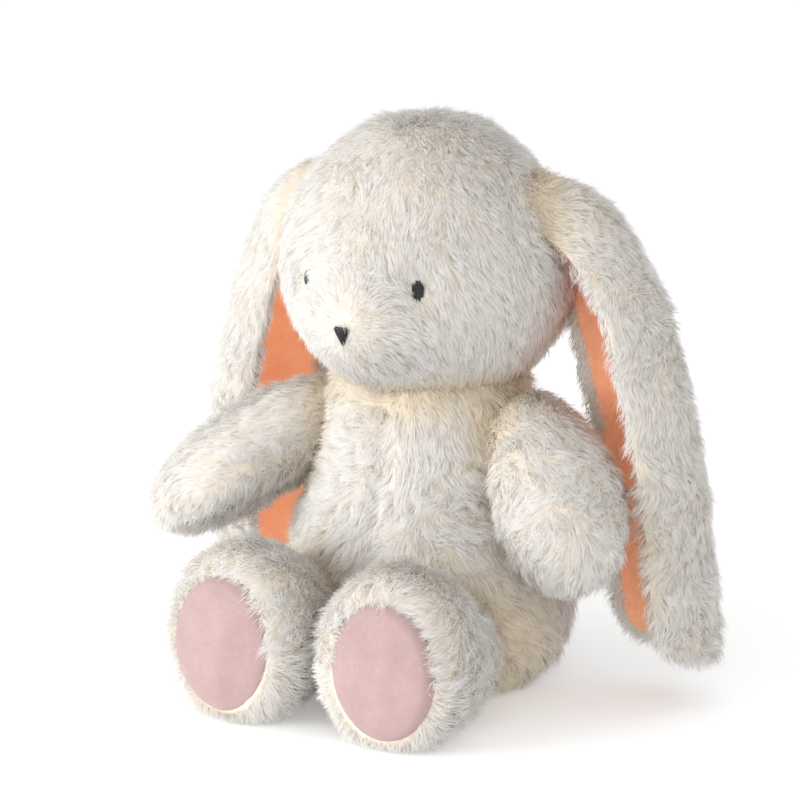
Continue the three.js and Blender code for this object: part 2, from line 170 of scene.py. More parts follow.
def nearest_centres(points: Array, cell: float, salt: int) -> tuple[Array, Array]:
    """The nearest point of a jittered lattice to every point.

    Space is cut into cubes of side `cell`, each with one randomly placed centre. The nearest one is found
    among a point's own cube and its 26 neighbours.

    Args:
        points: the points, one per row.
        cell: the cube's side.
        salt: picks another lattice.

    Returns:
        Each point's nearest centre, and three random numbers that belong to that centre.
    """
    base = np.floor(points / cell).astype(np.int64)
    best = np.full(len(points), np.inf)
    centre = np.zeros_like(points)
    owner = np.zeros_like(base)
    for offset in np.ndindex(3, 3, 3):
        cells = base + np.array(offset) - 1
        candidate = (cells + hashed(cells, salt)) * cell
        distance = np.sum((candidate - points) ** 2, axis=1)
        closer = distance < best
        best[closer] = distance[closer]
        centre[closer] = candidate[closer]
        owner[closer] = cells[closer]
    return centre, hashed(owner, salt + 1)


# ---- Curves and surfaces -----------------------------------------------------------------------------------


class Route:
    """A smooth line through a few points, with centripetal spacing between its knots."""

    SAMPLES = 400

    def __init__(self, points: list[tuple[float, float, float]]) -> None:
        """Samples the line densely, so that places along it can be looked up.

        Args:
            points: the points that the line goes through.
        """
        knots = np.array(points, dtype=float)
        ends = (2 * knots[:1] - knots[1:2], knots, 2 * knots[-1:] - knots[-2:-1])
        full = np.vstack(ends)
        pieces = len(knots) - 1
        self.table = np.array([self._at(full, t * pieces) for t in np.linspace(0, 1, self.SAMPLES)])
        steps = np.linalg.norm(np.diff(self.table, axis=0), axis=1)
        self.length = float(steps.sum())

    @staticmethod
    def _at(full: Array, place: float) -> Array:
        """The Barry-Goldman pyramid of a centripetal Catmull-Rom line, at one place counted in knots."""
        start = min(int(place), len(full) - 4)
        p = full[start : start + 4]
        gaps = np.maximum(np.linalg.norm(np.diff(p, axis=0), axis=1) ** 0.5, 1e-9)
        k = np.concatenate([[0.0], np.cumsum(gaps)])
        t = k[1] + (place - start) * gaps[1]
        a = [((k[i + 1] - t) * p[i] + (t - k[i]) * p[i + 1]) / (k[i + 1] - k[i]) for i in range(3)]
        b = [((k[i + 2] - t) * a[i] + (t - k[i]) * a[i + 1]) / (k[i + 2] - k[i]) for i in range(2)]
        return ((k[2] - t) * b[0] + (t - k[1]) * b[1]) / (k[2] - k[1])

    def point(self, share: Array) -> Array:
        """The line's point at each share of its knots, by linear lookup in its samples."""
        place = np.clip(share, 0, 1) * (self.SAMPLES - 1)
        low = np.minimum(place.astype(int), self.SAMPLES - 2)
        t = (place - low)[..., None]
        return self.table[low] * (1 - t) + self.table[low + 1] * t

    def tangent(self, share: Array) -> Array:
        """The line's direction at each share, from its points a little before and after."""
        small = 0.012
        return unit(self.point(np.minimum(share + small, 1)) - self.point(np.maximum(share - small, 0)))


@dataclass
class Surface:
    """A closed surface of triangles."""

    points: Array
    faces: Array

    def crosses(self) -> Array:
        """Each triangle's edge cross product, whose length is twice its area."""
        a, b, c = (self.points[self.faces[:, i]] for i in range(3))
        return np.cross(b - a, c - a)

    def normals(self) -> Array:
        """Each vertex's normal: its triangles' cross products added up."""
        crosses = self.crosses()
        total = np.zeros_like(self.points)
        for corner in range(3):
            np.add.at(total, self.faces[:, corner], crosses)
        return unit(total)

    def area(self) -> float:
        """The whole surface's area."""
        return float(np.linalg.norm(self.crosses(), axis=1).sum() / 2)

    def outward(self) -> "Surface":
        """The same surface with its faces turned to point out, judged by the sign of its volume."""
        a, b, c = (self.points[self.faces[:, i]] for i in range(3))
        if np.sum(a * np.cross(b, c)) < 0:
            return Surface(self.points, self.faces[:, ::-1].copy())
        return self


def ring_faces(rings: int, around: int) -> Array:
    """Triangles of a tube of `rings` closed rings whose two ends are closed by one vertex each.

    Vertex 0 is the first end, the rings follow in order, and the last vertex is the other end.
    """
    index = 1 + np.arange(rings * around).reshape(rings, around)
    turned = np.roll(index, -1, axis=1)
    a, b = index[:-1].ravel(), turned[:-1].ravel()
    c, d = turned[1:].ravel(), index[1:].ravel()
    first = np.stack([np.zeros(around, int), turned[0], index[0]], axis=1)
    final = np.full(around, rings * around + 1)
    last = np.stack([final, index[-1], turned[-1]], axis=1)
    return np.vstack([first, np.stack([a, b, c], axis=1), np.stack([a, c, d], axis=1), last])


def ball_surface(place: Callable[[Array], Array], around: int = 96, along: int = 64) -> Surface:
    """A sphere's vertices, each unit direction sent to its place by a function.

    Args:
        place: gives the points for an array of unit directions.
        around: vertices in a ring about +Z.
        along: steps from the top pole to the bottom one.

    Returns:
        The closed surface.
    """
    polar = math.pi * np.arange(1, along) / along
    turn = 2 * math.pi * np.arange(around) / around
    ring, spin = np.meshgrid(polar, turn, indexing="ij")
    rows = np.stack([np.sin(ring) * np.cos(spin), np.sin(ring) * np.sin(spin), np.cos(ring)], axis=-1)
    directions = np.vstack([UP, rows.reshape(-1, 3), -UP])
    return Surface(place(directions), ring_faces(along - 1, around)).outward()


# ---- The shapes --------------------------------------------------------------------------------------------


@dataclass(frozen=True)
class HeadShape:
    """An egg, wider at the cheeks, with a soft snout low at the front and a dimple at each eye."""

    centre: tuple[float, float, float] = (0.0, -0.003, 0.204)
    radii: tuple[float, float, float] = (0.070, 0.061, 0.067)
    cheek_flare: float = 0.06
    snout_drop: float = math.radians(16)
    snout_length: float = 0.022
    snout_spread: float = math.radians(21)
    eye_direction: tuple[float, float, float] = (0.43, -0.90, -0.03)
    eye_dimple: float = 0.0035
    dimple_spread: float = math.radians(8)

    def snout(self) -> Array:
        """The direction from the middle of the head to the nose."""
        return np.array([0.0, -math.cos(self.snout_drop), -math.sin(self.snout_drop)])

    def eye(self, side: int) -> Array:
        """The direction from the middle of the head to an eye; side is +1 for the bunny's left."""
        x, y, z = self.eye_direction
        return unit(np.array([side * x, y, z]))

    def place(self, n: Array, inset: float = 0.0) -> Array:
        """The point for each direction: an ellipsoid less the inset, plus a bell-shaped snout, less dimples."""
        size = np.array(self.radii) - inset
        point = n * size
        point[:, 0] *= 1 - self.cheek_flare * n[:, 2]
        angle = np.arccos(np.clip(n @ self.snout(), -1, 1))
        point += self.snout() * (self.snout_length * np.exp(-0.5 * (angle / self.snout_spread) ** 2))[:, None]
        for side in (1, -1):
            eye = self.eye(side)
            angle = np.arccos(np.clip(n @ eye, -1, 1))
            point -= eye * (self.eye_dimple * bump(angle, self.dimple_spread))[:, None]
        return point + np.array(self.centre)


@dataclass(frozen=True)
class TorsoShape:
    """A pear with a flat seat and a narrower neck that goes up inside the head."""

    depth: float = 0.92
    profile: tuple[tuple[float, float], ...] = (
        (0.000, 0.176),
        (0.026, 0.171),
        (0.039, 0.158),
        (0.046, 0.143),
        (0.050, 0.125),
        (0.053, 0.108),
        (0.060, 0.084),
        (0.067, 0.058),
        (0.069, 0.038),
        (0.064, 0.017),
        (0.052, 0.003),
        (0.038, -0.004),
        (0.000, -0.006),
    )

    def place(self, n: Array, inset: float = 0.0) -> Array:
        """The point for each direction: its polar angle picks a place on the half-profile, which is turned."""
        share = np.arccos(np.clip(n[:, 2], -1, 1)) / math.pi
        radius, height = spline_through(np.array(self.profile), share).T
        ring = np.hypot(n[:, 0], n[:, 1])
        aside = n[:, 0] / np.maximum(ring, 1e-9)
        ahead = n[:, 1] / np.maximum(ring, 1e-9)
        radius = np.where(ring > 1e-6, np.maximum(radius - inset, 0.0005), 0.0)
        seat = np.maximum(height, inset)
        return np.stack([radius * aside, self.depth * radius * ahead, seat], axis=1)


@dataclass(frozen=True)
class LimbShape:
    """A stuffed limb along a bent line, with its own widths and depths, blunt or round at its far end."""

    axis: tuple[tuple[float, float, float], ...]
    across: tuple[float, float, float]
    widths: tuple[float, ...]
    depths: tuple[float, ...]
    blunt: float

    def place(self, n: Array, inset: float = 0.0) -> Array:
        """The point for each direction, whose z runs along the limb and whose x and y go round it."""
        route = Route(list(self.axis))
        along = (n[:, 2] + 1) / 2
        share = np.clip((inset + along * (route.length - 2 * inset)) / route.length, 0, 1)
        power = np.where(n[:, 2] > 0, self.blunt, 2.0)
        rounding = np.maximum(0, 1 - np.abs(n[:, 2]) ** power) ** (1 / power)
        ring = np.maximum(np.hypot(n[:, 0], n[:, 1]), 1e-9)
        tangent = route.tangent(share)
        across = unit(along_surface(np.broadcast_to(np.array(self.across), n.shape), tangent))
        through = np.cross(tangent, across)
        width = (spline_through(np.array(self.widths), along) - inset) * rounding * n[:, 0] / ring
        depth = (spline_through(np.array(self.depths), along) - inset) * rounding * n[:, 1] / ring
        point = route.point(share) + across * width[:, None] + through * depth[:, None]
        point[:, 2] = np.maximum(point[:, 2], inset)
        return point

    def middle_plane(self) -> tuple[Array, Array]:
        """A point on the plane that parts the limb's two panels, and that plane's normal."""
        route = Route(list(self.axis))
        half = np.array([0.5])
        return route.point(half)[0], unit(np.cross(route.tangent(half)[0], np.array(self.across)))


LEFT_EAR_RIDGE = (
    (0.038, 0.003, 0.241),
    (0.054, 0.004, 0.240),
    (0.069, 0.007, 0.2365),
    (0.083, 0.010, 0.229),
    (0.095, 0.014, 0.214),
    (0.105, 0.017, 0.194),
    (0.113, 0.019, 0.170),
    (0.121, 0.021, 0.140),
    (0.127, 0.023, 0.108),
    (0.131, 0.024, 0.076),
    (0.134, 0.025, 0.048),
    (0.135, 0.026, 0.022),
)
RIGHT_EAR_RIDGE = (
    (0.038, 0.003, 0.241),
    (0.054, 0.004, 0.240),
    (0.069, 0.007, 0.2365),
    (0.084, 0.011, 0.228),
    (0.096, 0.015, 0.212),
    (0.107, 0.018, 0.193),
    (0.117, 0.021, 0.168),
    (0.126, 0.023, 0.142),
    (0.132, 0.025, 0.118),
    (0.135, 0.026, 0.094),
    (0.134, 0.026, 0.070),
    (0.131, 0.026, 0.046),
    (0.127, 0.026, 0.022),
)  # also as on the left side


@dataclass(frozen=True)
class EarShape:
    """A long ear that leaves the head sideways, folds over and hangs, folded along a ridge like a trough."""

    side: int
    widths: tuple[float, ...] = (0.060, 0.068, 0.078, 0.084, 0.088, 0.090, 0.092)
    folds: tuple[float, ...] = (0.010, 0.010, 0.011, 0.011, 0.011, 0.011, 0.012)
    ridge_shift: float = 0.007
    half_thickness: float = 0.0028
    tip_start: float = 0.82

    def route(self) -> Route:
        """The ear's ridge, as on the left side."""
        return Route(list(LEFT_EAR_RIDGE if self.side > 0 else RIGHT_EAR_RIDGE))

    def twist(self) -> float:
        """How far the hanging ear is turned about the vertical from its root."""
        return LEFT_EAR_TWIST if self.side > 0 else 0.0

    def half_width(self, along: Array) -> Array:
        """Half the ear's width: a smooth line through the widths, closed off at both ends.

        Past the tip's start it is multiplied by sqrt(1 - t^3 / 4 - 3 t^10 / 4), where t goes from 0 to 1 at the
        tip, and near the root by a quarter circle.

        Args:
            along: shares of the ear's length.

        Returns:
            Half the width at each.
        """
        end = np.clip((along - self.tip_start) / (1 - self.tip_start), 0, 1)
        closing = np.sqrt(np.clip(1 - 0.25 * end**3 - 0.75 * end**10, 0, 1))
        start = np.clip(along / 0.02, 0, 1)
        return spline_through(np.array(self.widths), along) / 2 * closing * np.sqrt(1 - (1 - start) ** 2)

    def place(self, along: Array, across: Array, rise: Array) -> Array:
        """The point a share of the way along the ear, so far towards its front edge and so far out of it.

        The section is a catenary, sharpest at the ridge: with s = across / fold, it goes fold * asinh(s)
        to the front and fold * (sqrt(1 + s^2) - 1) inwards. The hanging ear is turned by the twist.

        Args:
            along: shares of the ear's length.
            across: offsets towards the front edge.
            rise: offsets out of the ear; negative ones are on its inside.

        Returns:
            The points.
        """
        route = self.route()
        centre = route.point(along)
        tangent = route.tangent(along)
        turn = self.twist() * step_up(along, 0.05, 0.5)
        front = np.stack([np.sin(turn), -np.cos(turn), np.zeros_like(turn)], axis=-1)
        front = unit(along_surface(front, tangent))
        outward = np.cross(front, tangent)
        fold = spline_through(np.array(self.folds), along)
        slope = (across - self.ridge_shift) / fold
        stretch = np.hypot(1, slope)
        ahead = fold * np.arcsinh(slope) + rise * slope / stretch
        out = fold * (1 - stretch) + rise / stretch
        point = centre + front * ahead[..., None] + outward * out[..., None]
        point[..., 0] *= self.side
        return point


# ---- Stuffing: the cloth simulation ------------------------------------------------------------------------


@dataclass(frozen=True)
class Filling:
    """How a sewn cover is stuffed: it is remeshed, blown up a little, and held back along its seams."""

    voxel: float = 0.0045
    pressure: float = 4.0
    frames: int = 20
    most_travel: float = 0.0035
    seam_width: float = 0.004

    def stuff(self, surface: Surface, seam_distance: Callable[[Array], Array]) -> Surface:
        """Simulates the cover's cloth under pressure and returns the plumped surface.

        Args:
            surface: the cover as sewn, slightly smaller than it ends.
            seam_distance: each point's distance from the nearest seam, where the thread holds it back.

        Returns:
            The surface after the simulation.
        """
        scene = bpy.context.scene
        cover = mesh_object("cover_being_stuffed", surface)
        remesh = cover.modifiers.new("even_cloth", "REMESH")
        remesh.mode = "VOXEL"
        remesh.voxel_size = self.voxel
        bake_modifiers(cover)
        start = vertex_points(cover.data)
        held = bump(seam_distance(start), self.seam_width)
        group = cover.vertex_groups.new(name="seams")
        for index in np.nonzero(held > 0.05)[0]:
            group.add([int(index)], float(held[index]), "REPLACE")
        cloth = cover.modifiers.new("stuffing", "CLOTH")
        cloth.settings.use_pressure = True
        cloth.settings.uniform_pressure_force = self.pressure
        cloth.settings.effector_weights.gravity = 0
        cloth.settings.vertex_group_mass = group.name
        cloth.settings.tension_stiffness = 20
        cloth.settings.bending_stiffness = 2
        cloth.collision_settings.use_self_collision = False
        cloth.point_cache.frame_start = 1
        cloth.point_cache.frame_end = self.frames
        for frame_number in range(1, self.frames + 1):
            scene.frame_set(frame_number)
        evaluated = cover.evaluated_get(bpy.context.evaluated_depsgraph_get())
        travel = vertex_points(evaluated.data) - start
        length = np.linalg.norm(travel, axis=1, keepdims=True)
        moved = start + travel * np.minimum(1, self.most_travel / np.maximum(length, 1e-9))
        moved[:, 2] = np.maximum(moved[:, 2], FLOOR_CLEARANCE)
        cover.modifiers.clear()
        cover.data.vertices.foreach_set("co", moved.ravel())
        smooth = cover.modifiers.new("finer", "SUBSURF")
        smooth.levels = smooth.render_levels = 1
        bake_modifiers(cover)
        scene.frame_set(1)
        result = surface_of(cover.data)
        bpy.data.objects.remove(cover, do_unlink=True)
        return result


def vertex_points(mesh: bpy.types.Mesh) -> Array:
    """A mesh's vertices as an array."""
    points = np.empty(len(mesh.vertices) * 3)
    mesh.vertices.foreach_get("co", points)
    return points.reshape(-1, 3)


def surface_of(mesh: bpy.types.Mesh) -> Surface:
    """A mesh as a surface of triangles."""
    mesh.calc_loop_triangles()
    faces = np.empty(len(mesh.loop_triangles) * 3, dtype=np.int32)
    mesh.loop_triangles.foreach_get("vertices", faces)
    return Surface(vertex_points(mesh), faces.reshape(-1, 3).astype(int)).outward()


def bake_modifiers(piece: bpy.types.Object) -> None:
    """Replaces a piece's mesh by its mesh with the modifiers applied."""
    evaluated = piece.evaluated_get(bpy.context.evaluated_depsgraph_get())
    made = bpy.data.meshes.new_from_object(evaluated)
    old = piece.data
    piece.modifiers.clear()
    piece.data = made
    bpy.data.meshes.remove(old)


def fill_mesh(name: str, points: Array, faces: Array) -> bpy.types.Mesh:
    """A new mesh, all shaded smooth.

    Args:
        name: the mesh's name.
        points: its vertices.
        faces: its triangles, as vertex numbers.

    Returns:
        The mesh.
    """
    mesh = bpy.data.meshes.new(name)
    mesh.vertices.add(len(points))
    mesh.vertices.foreach_set("co", points.astype(np.float32).ravel())
    mesh.loops.add(len(faces) * 3)
    mesh.loops.foreach_set("vertex_index", faces.astype(np.int32).ravel())
    mesh.polygons.add(len(faces))
    mesh.polygons.foreach_set("loop_start", np.arange(0, len(faces) * 3, 3, dtype=np.int32))
    mesh.polygons.foreach_set("use_smooth", np.ones(len(faces), dtype=bool))
    mesh.update(calc_edges=True)
    return mesh


def mesh_object(name: str, surface: Surface) -> bpy.types.Object:
    """A piece in the scene whose mesh is a surface."""
    piece = bpy.data.objects.new(name, fill_mesh(name, surface.points, surface.faces))
    bpy.context.scene.collection.objects.link(piece)
    return piece


def paint(mesh: bpy.types.Mesh, name: str, values: Array) -> None:
    """Stores one number for each vertex, which a material can read by name.

    Args:
        mesh: the mesh to store them in.
        name: the attribute's name.
        values: a number for each vertex.
    """
    attribute = mesh.attributes.new(name, "FLOAT", "POINT")
    attribute.data.foreach_set("value", values.astype(np.float32).ravel())


# ---- Fur ---------------------------------------------------------------------------------------------------


@dataclass(frozen=True)
class Pile:
    """A fur fabric's pile: how long and thick its fibres are, how they lean, and how they clump."""

    length: float = 0.0090
    density: float = 2.35e6  # blades on a square metre
    width: float = 0.00035
    stand: float = 0.46  # 1 stands straight up, 0 lies flat
    lean: float = 0.70  # towards the combed direction
    stray: float = 0.11  # each blade's own way
    tuft_size: float = 0.0046
    tuft_turn: float = 0.26  # how differently neighbouring tufts point
    gather: float = 0.42  # how far tips close in on their tuft's middle
    patch_size: float = 0.034
    patch_turn: float = 0.40  # slower changes of direction, as after stroking
    salt: int = 1


@dataclass
class Blades:
    """Grown fibres: root, middle and tip points, the half-width at the root, and what colours them."""

    root: Array
    middle: Array
    tip: Array
    aside: Array
    normal: Array
    tint: Array
    spot: Array = field(default_factory=lambda: np.zeros(0))

    def where(self, chosen: Array) -> "Blades":
        """The blades that a mask picks."""
        rows = (self.root, self.middle, self.tip, self.aside, self.normal, self.tint, self.spot)
        return Blades(*(row[chosen] for row in rows))

    def __len__(self) -> int:
        """How many blades there are."""
        return len(self.root)


def grow(
    surface: Surface,
    pile: Pile,
    comb: Callable[[Array, Array], Array],
    trim: Callable[[Array], Array],
) -> Blades:
    """Grows a pile all over a surface.

    Roots are scattered evenly by area. A blade sets off between the normal and the combed direction, both
    turned by its patch, its tuft and its own stray, bends over on its way, and its tip is drawn towards its
    tuft's middle. Its flat side is turned to face outwards, give or take a twist.

    Args:
        surface: what the pile is rooted in.
        pile: the pile's nature.
        comb: the combed direction for points and normals; its length adds to the lean.
        trim: how long the pile is at each point, as a share of its length; none grows under a tenth.

    Returns:
        The blades.
    """
    rng = np.random.default_rng(pile.salt)
    crosses = surface.crosses()
    areas = np.linalg.norm(crosses, axis=1) / 2
    count = int(areas.sum() * pile.density)
    picked = rng.choice(len(areas), size=count, p=areas / areas.sum())
    weight = rng.random((count, 2))
    folded = weight.sum(axis=1) > 1
    weight[folded] = 1 - weight[folded]
    shares = np.stack([1 - weight.sum(axis=1), weight[:, 0], weight[:, 1]], axis=1)
    corners = surface.faces[picked]
    vertex_normals = surface.normals()
    root = np.einsum("ij,ijk->ik", shares, surface.points[corners])
    normal = unit(np.einsum("ij,ijk->ik", shares, vertex_normals[corners]))
    share = trim(root)
    kept = share > 0.1
    root, normal, share = root[kept], normal[kept], share[kept]
    count = len(root)

    centre, nature = nearest_centres(root, pile.tuft_size, pile.salt)
    tuft_way = along_surface(2 * nature - 1, normal)
    patch_way = along_surface(swirl(root, pile.patch_size, pile.salt), normal)
    own_way = rng.normal(size=(count, 3)) * pile.stray
    flow = comb(root, normal) * pile.lean + patch_way * pile.patch_turn + tuft_way * pile.tuft_turn
    length = pile.length * share * (0.78 + 0.34 * nature[:, 1]) * rng.uniform(0.72, 1.12, count)
    length = length[:, None]
    rise = unit(normal * pile.stand + flow * 0.55 + own_way)
    fall = unit(normal * pile.stand * 0.45 + flow * 1.25 + own_way * 1.4)
    inward = along_surface(centre - root, normal)
    middle = root + rise * length * 0.52 + inward * pile.gather * 0.35
    tip = middle + fall * length * 0.50 + inward * pile.gather * 0.65
    under = dot(middle - root, normal)
    middle += normal * np.maximum(0, 0.0006 - under)
    for points in (middle, tip):
        points[:, 2] = np.maximum(points[:, 2], FLOOR_CLEARANCE)

    heading = unit(tip - root)
    aside = unit(np.cross(heading, normal))
    twist = rng.normal(scale=0.6, size=(count, 1))
    aside = aside * np.cos(twist) + np.cross(heading, aside) * np.sin(twist)
    facing = np.sign(dot(np.cross(aside, heading), normal))
    half = pile.width / 2 * rng.uniform(0.7, 1.25, (count, 1))
    tint = 0.5 + 0.28 * (nature[:, 2] - 0.5) + rng.normal(scale=0.16, size=count)
    spot = swirl(root, 0.05, pile.salt + 5)[:, 0]
    return Blades(root, middle, tip, aside * half * facing, normal, np.clip(tint, 0, 1), spot)


def blade_mesh(name: str, blades: Blades) -> bpy.types.Object:
    """Blades as one piece: each has two root corners, two middle corners and a tip, and three triangles.

    Vertex attributes `along` (0 at the root, 1 at the tip), `tint` and `spot` colour it, and each blade has
    its own cell of the piece's UV map, so that a baked colour keeps its place.

    Args:
        name: the piece's name.
        blades: the blades.

    Returns:
        The piece.
    """
    count = len(blades)
    corners = (
        blades.root - blades.aside,
        blades.root + blades.aside,
        blades.middle - blades.aside * 0.8,
        blades.middle + blades.aside * 0.8,
        blades.tip,
    )
    points = np.stack(corners, axis=1).reshape(-1, 3)
    pattern = np.array([[0, 1, 3], [0, 3, 2], [2, 3, 4]])
    faces = (BLADE_VERTICES * np.arange(count)[:, None, None] + pattern).reshape(-1, 3)
    mesh = fill_mesh(name, points, faces)
    paint(mesh, "along", np.tile([0.0, 0.0, 0.52, 0.52, 1.0], count))
    paint(mesh, "tint", np.repeat(blades.tint, BLADE_VERTICES))
    paint(mesh, "spot", np.repeat(blades.spot, BLADE_VERTICES))
    heading = unit(blades.tip - blades.root)
    flat = unit(np.cross(blades.aside, heading))
    soft = unit(blades.normal * 0.82 + flat * 0.18)
    tip_normal = unit(soft + heading * 0.35)
    normals = np.stack([soft, soft, soft, soft, tip_normal], axis=1).reshape(-1, 3)
    mesh.normals_split_custom_set_from_vertices(normals)
    columns = max(1, math.ceil(math.sqrt(count)))
    cell = np.stack([np.arange(count) % columns, np.arange(count) // columns], axis=1) / columns
    corner_uv = np.array([[0.15, 0.1], [0.85, 0.1], [0.2, 0.5], [0.8, 0.5], [0.5, 0.9]]) / columns
    vertex_uv = (cell[:, None, :] + corner_uv).reshape(-1, 2)
    layer = mesh.uv_layers.new(name="OFBake")
    layer.data.foreach_set("uv", vertex_uv[faces.ravel()].astype(np.float32).ravel())
    piece = bpy.data.objects.new(name, mesh)
    bpy.context.scene.collection.objects.link(piece)
    return piece


# ---- Materials ---------------------------------------------------------------------------------------------


class Slot(Enum):
    """Material slots, which say how a piece could be repainted."""

    FUR = "ivory_fur"
    LINING = "peach_lining"
    VELOUR = "pink_velour"
    BLACK_THREAD = "black_thread"
    WHITE_THREAD = "white_thread"
    STUFFING = "stuffing"
    POUCH = "pouch_cloth"


class Graph:
    """A node tree with short ways to add nodes and wire them."""

    def __init__(self, tree: bpy.types.NodeTree) -> None:
        """Starts on an empty tree.

        Args:
            tree: the material's or the group's tree.
        """
        self.tree = tree
        tree.nodes.clear()

    def node(self, kind: str, inputs: dict | None = None, **settings: object) -> bpy.types.Node:
        """Adds a node.

        Args:
            kind: the node's type.
            inputs: what each named input takes: a number, a colour, or another node's output.
            settings: the node's own properties.

        Returns:
            The node.
        """
        made = self.tree.nodes.new(kind)
        for name, value in settings.items():
            setattr(made, name, value)
        for name, value in (inputs or {}).items():
            if isinstance(value, bpy.types.NodeSocket):
                self.tree.links.new(value, made.inputs[name])
            else:
                made.inputs[name].default_value = value
        return made

    def number(self, operation: str, first: object, second: object = 0.0) -> bpy.types.NodeSocket:
        """Adds a Math node.

        Args:
            operation: what it works out.
            first: a number or an output.
            second: a number or an output.

        Returns:
            Its output.
        """
        return self.node("ShaderNodeMath", {0: first, 1: second}, operation=operation).outputs[0]

    def blend(self, share: object, first: object, second: object, mode: str = "MIX") -> bpy.types.NodeSocket:
        """Adds a Mix node for colours.

        Args:
            share: how much of the second colour there is.
            first: a colour or an output.
            second: a colour or an output.
            mode: how the two are blended.

        Returns:
            The mixed colour.
        """
        mixed = self.node("ShaderNodeMix", data_type="RGBA", blend_type=mode)
        for socket, value in zip((mixed.inputs[0], mixed.inputs[6], mixed.inputs[7]), (share, first, second)):
            if isinstance(value, bpy.types.NodeSocket):
                self.tree.links.new(value, socket)
            else:
                socket.default_value = value
        return mixed.outputs[2]


def mottle_group() -> bpy.types.NodeTree:
    """A shared group: two sizes of soft noise on Object coordinates, as one number about 0.5."""
    tree = bpy.data.node_groups.new("mottle", "ShaderNodeTree")
    tree.interface.new_socket("Scale", in_out="INPUT", socket_type="NodeSocketFloat")
    tree.interface.new_socket("Value", in_out="OUTPUT", socket_type="NodeSocketFloat")
    graph = Graph(tree)
    given = graph.node("NodeGroupInput")
    place = graph.node("ShaderNodeTexCoord").outputs["Object"]
    coarse_inputs = {"Vector": place, "Scale": given.outputs["Scale"], "Detail": 3.0}
    coarse = graph.node("ShaderNodeTexNoise", coarse_inputs).outputs["Fac"]
    finer = graph.number("MULTIPLY", given.outputs["Scale"], 7.0)
    fine_inputs = {"Vector": place, "Scale": finer, "Detail": 2.0}
    fine = graph.node("ShaderNodeTexNoise", fine_inputs).outputs["Fac"]
    share = graph.number("MULTIPLY", fine, 0.4)
    total = graph.number("ADD", graph.number("MULTIPLY", coarse, 0.6), share)
    graph.node("NodeGroupOutput", {"Value": total})
    return tree


@dataclass(frozen=True)
class FurFinish:
    """Long synthetic fur: darker and warmer at its roots, as painted shade deep in the pile, paler towards its
    tips, and a little see-through.
    """

    name: str = "ivory_fur"
    # Painted shade: the roots are coloured darker and warmer than the tips, for the shade deep in the pile.
    root: tuple[float, float, float, float] = (0.94, 0.86, 0.74, 1)
    tip: tuple[float, float, float, float] = (0.985, 0.986, 0.983, 1)
    warm: tuple[float, float, float, float] = (0.98, 0.965, 0.94, 1)
    fold: tuple[float, float, float, float] = (0.965, 0.855, 0.66, 1)  # painted shade where parts press together: a tan tint in place of the shade between them
    through: float = 0.42
    sheer: float = 0.38  # how much light a fibre lets past it, which softens the shadows in the pile

    def material(self) -> bpy.types.Material:
        """The material, which reads the blades' attributes `along`, `tint`, `spot` and
        `painted_shade_near_parts`.
        """
        made = bpy.data.materials.new(self.name)
        made.use_nodes = True
        graph = Graph(made.node_tree)
        along = graph.node("ShaderNodeAttribute", attribute_name="along").outputs["Fac"]
        tint = graph.node("ShaderNodeAttribute", attribute_name="tint").outputs["Fac"]
        spot = graph.node("ShaderNodeAttribute", attribute_name="spot").outputs["Fac"]
        # Painted shade: the colour runs from the darker, warmer root to the pale tip.
        rise = graph.number("POWER", along, 0.42)
        colour = graph.blend(rise, self.root, self.tip)
        warmth = graph.number("ADD", graph.number("MULTIPLY", spot, 0.25), 0.25)
        colour = graph.blend(warmth, colour, self.warm)
        # Painted shade: a tan tint blended in where parts press together, in place of the shade between them.
        folded = graph.node("ShaderNodeAttribute", attribute_name="painted_shade_near_parts").outputs["Fac"]
        colour = graph.blend(graph.number("MULTIPLY", folded, 0.62), colour, self.fold)
        shade = graph.number("ADD", graph.number("MULTIPLY", tint, 0.10), 0.90)
        grey = graph.node("ShaderNodeCombineColor", {"Red": shade, "Green": shade, "Blue": shade})
        colour = graph.blend(1.0, colour, grey.outputs[0], "MULTIPLY")
        hair_inputs = {
            "Base Color": colour,
            "Roughness": 0.62,
            "Specular IOR Level": 0.22,
            "Sheen Weight": 0.12,
            "Sheen Roughness": 0.5,
        }
        hair = graph.node("ShaderNodeBsdfPrincipled", hair_inputs).outputs[0]
        glow = graph.node("ShaderNodeBsdfTranslucent", {"Color": colour}).outputs[0]
        both = graph.node("ShaderNodeMixShader", {0: self.through, 1: hair, 2: glow}).outputs[0]
        shadow = graph.node("ShaderNodeLightPath").outputs["Is Shadow Ray"]
        past = graph.node("ShaderNodeBsdfTransparent").outputs[0]
        share = graph.number("MULTIPLY", shadow, self.sheer)
        surface = graph.node("ShaderNodeMixShader", {0: share, 1: both, 2: past}).outputs[0]
        graph.node("ShaderNodeOutputMaterial", {"Surface": surface})
        return made


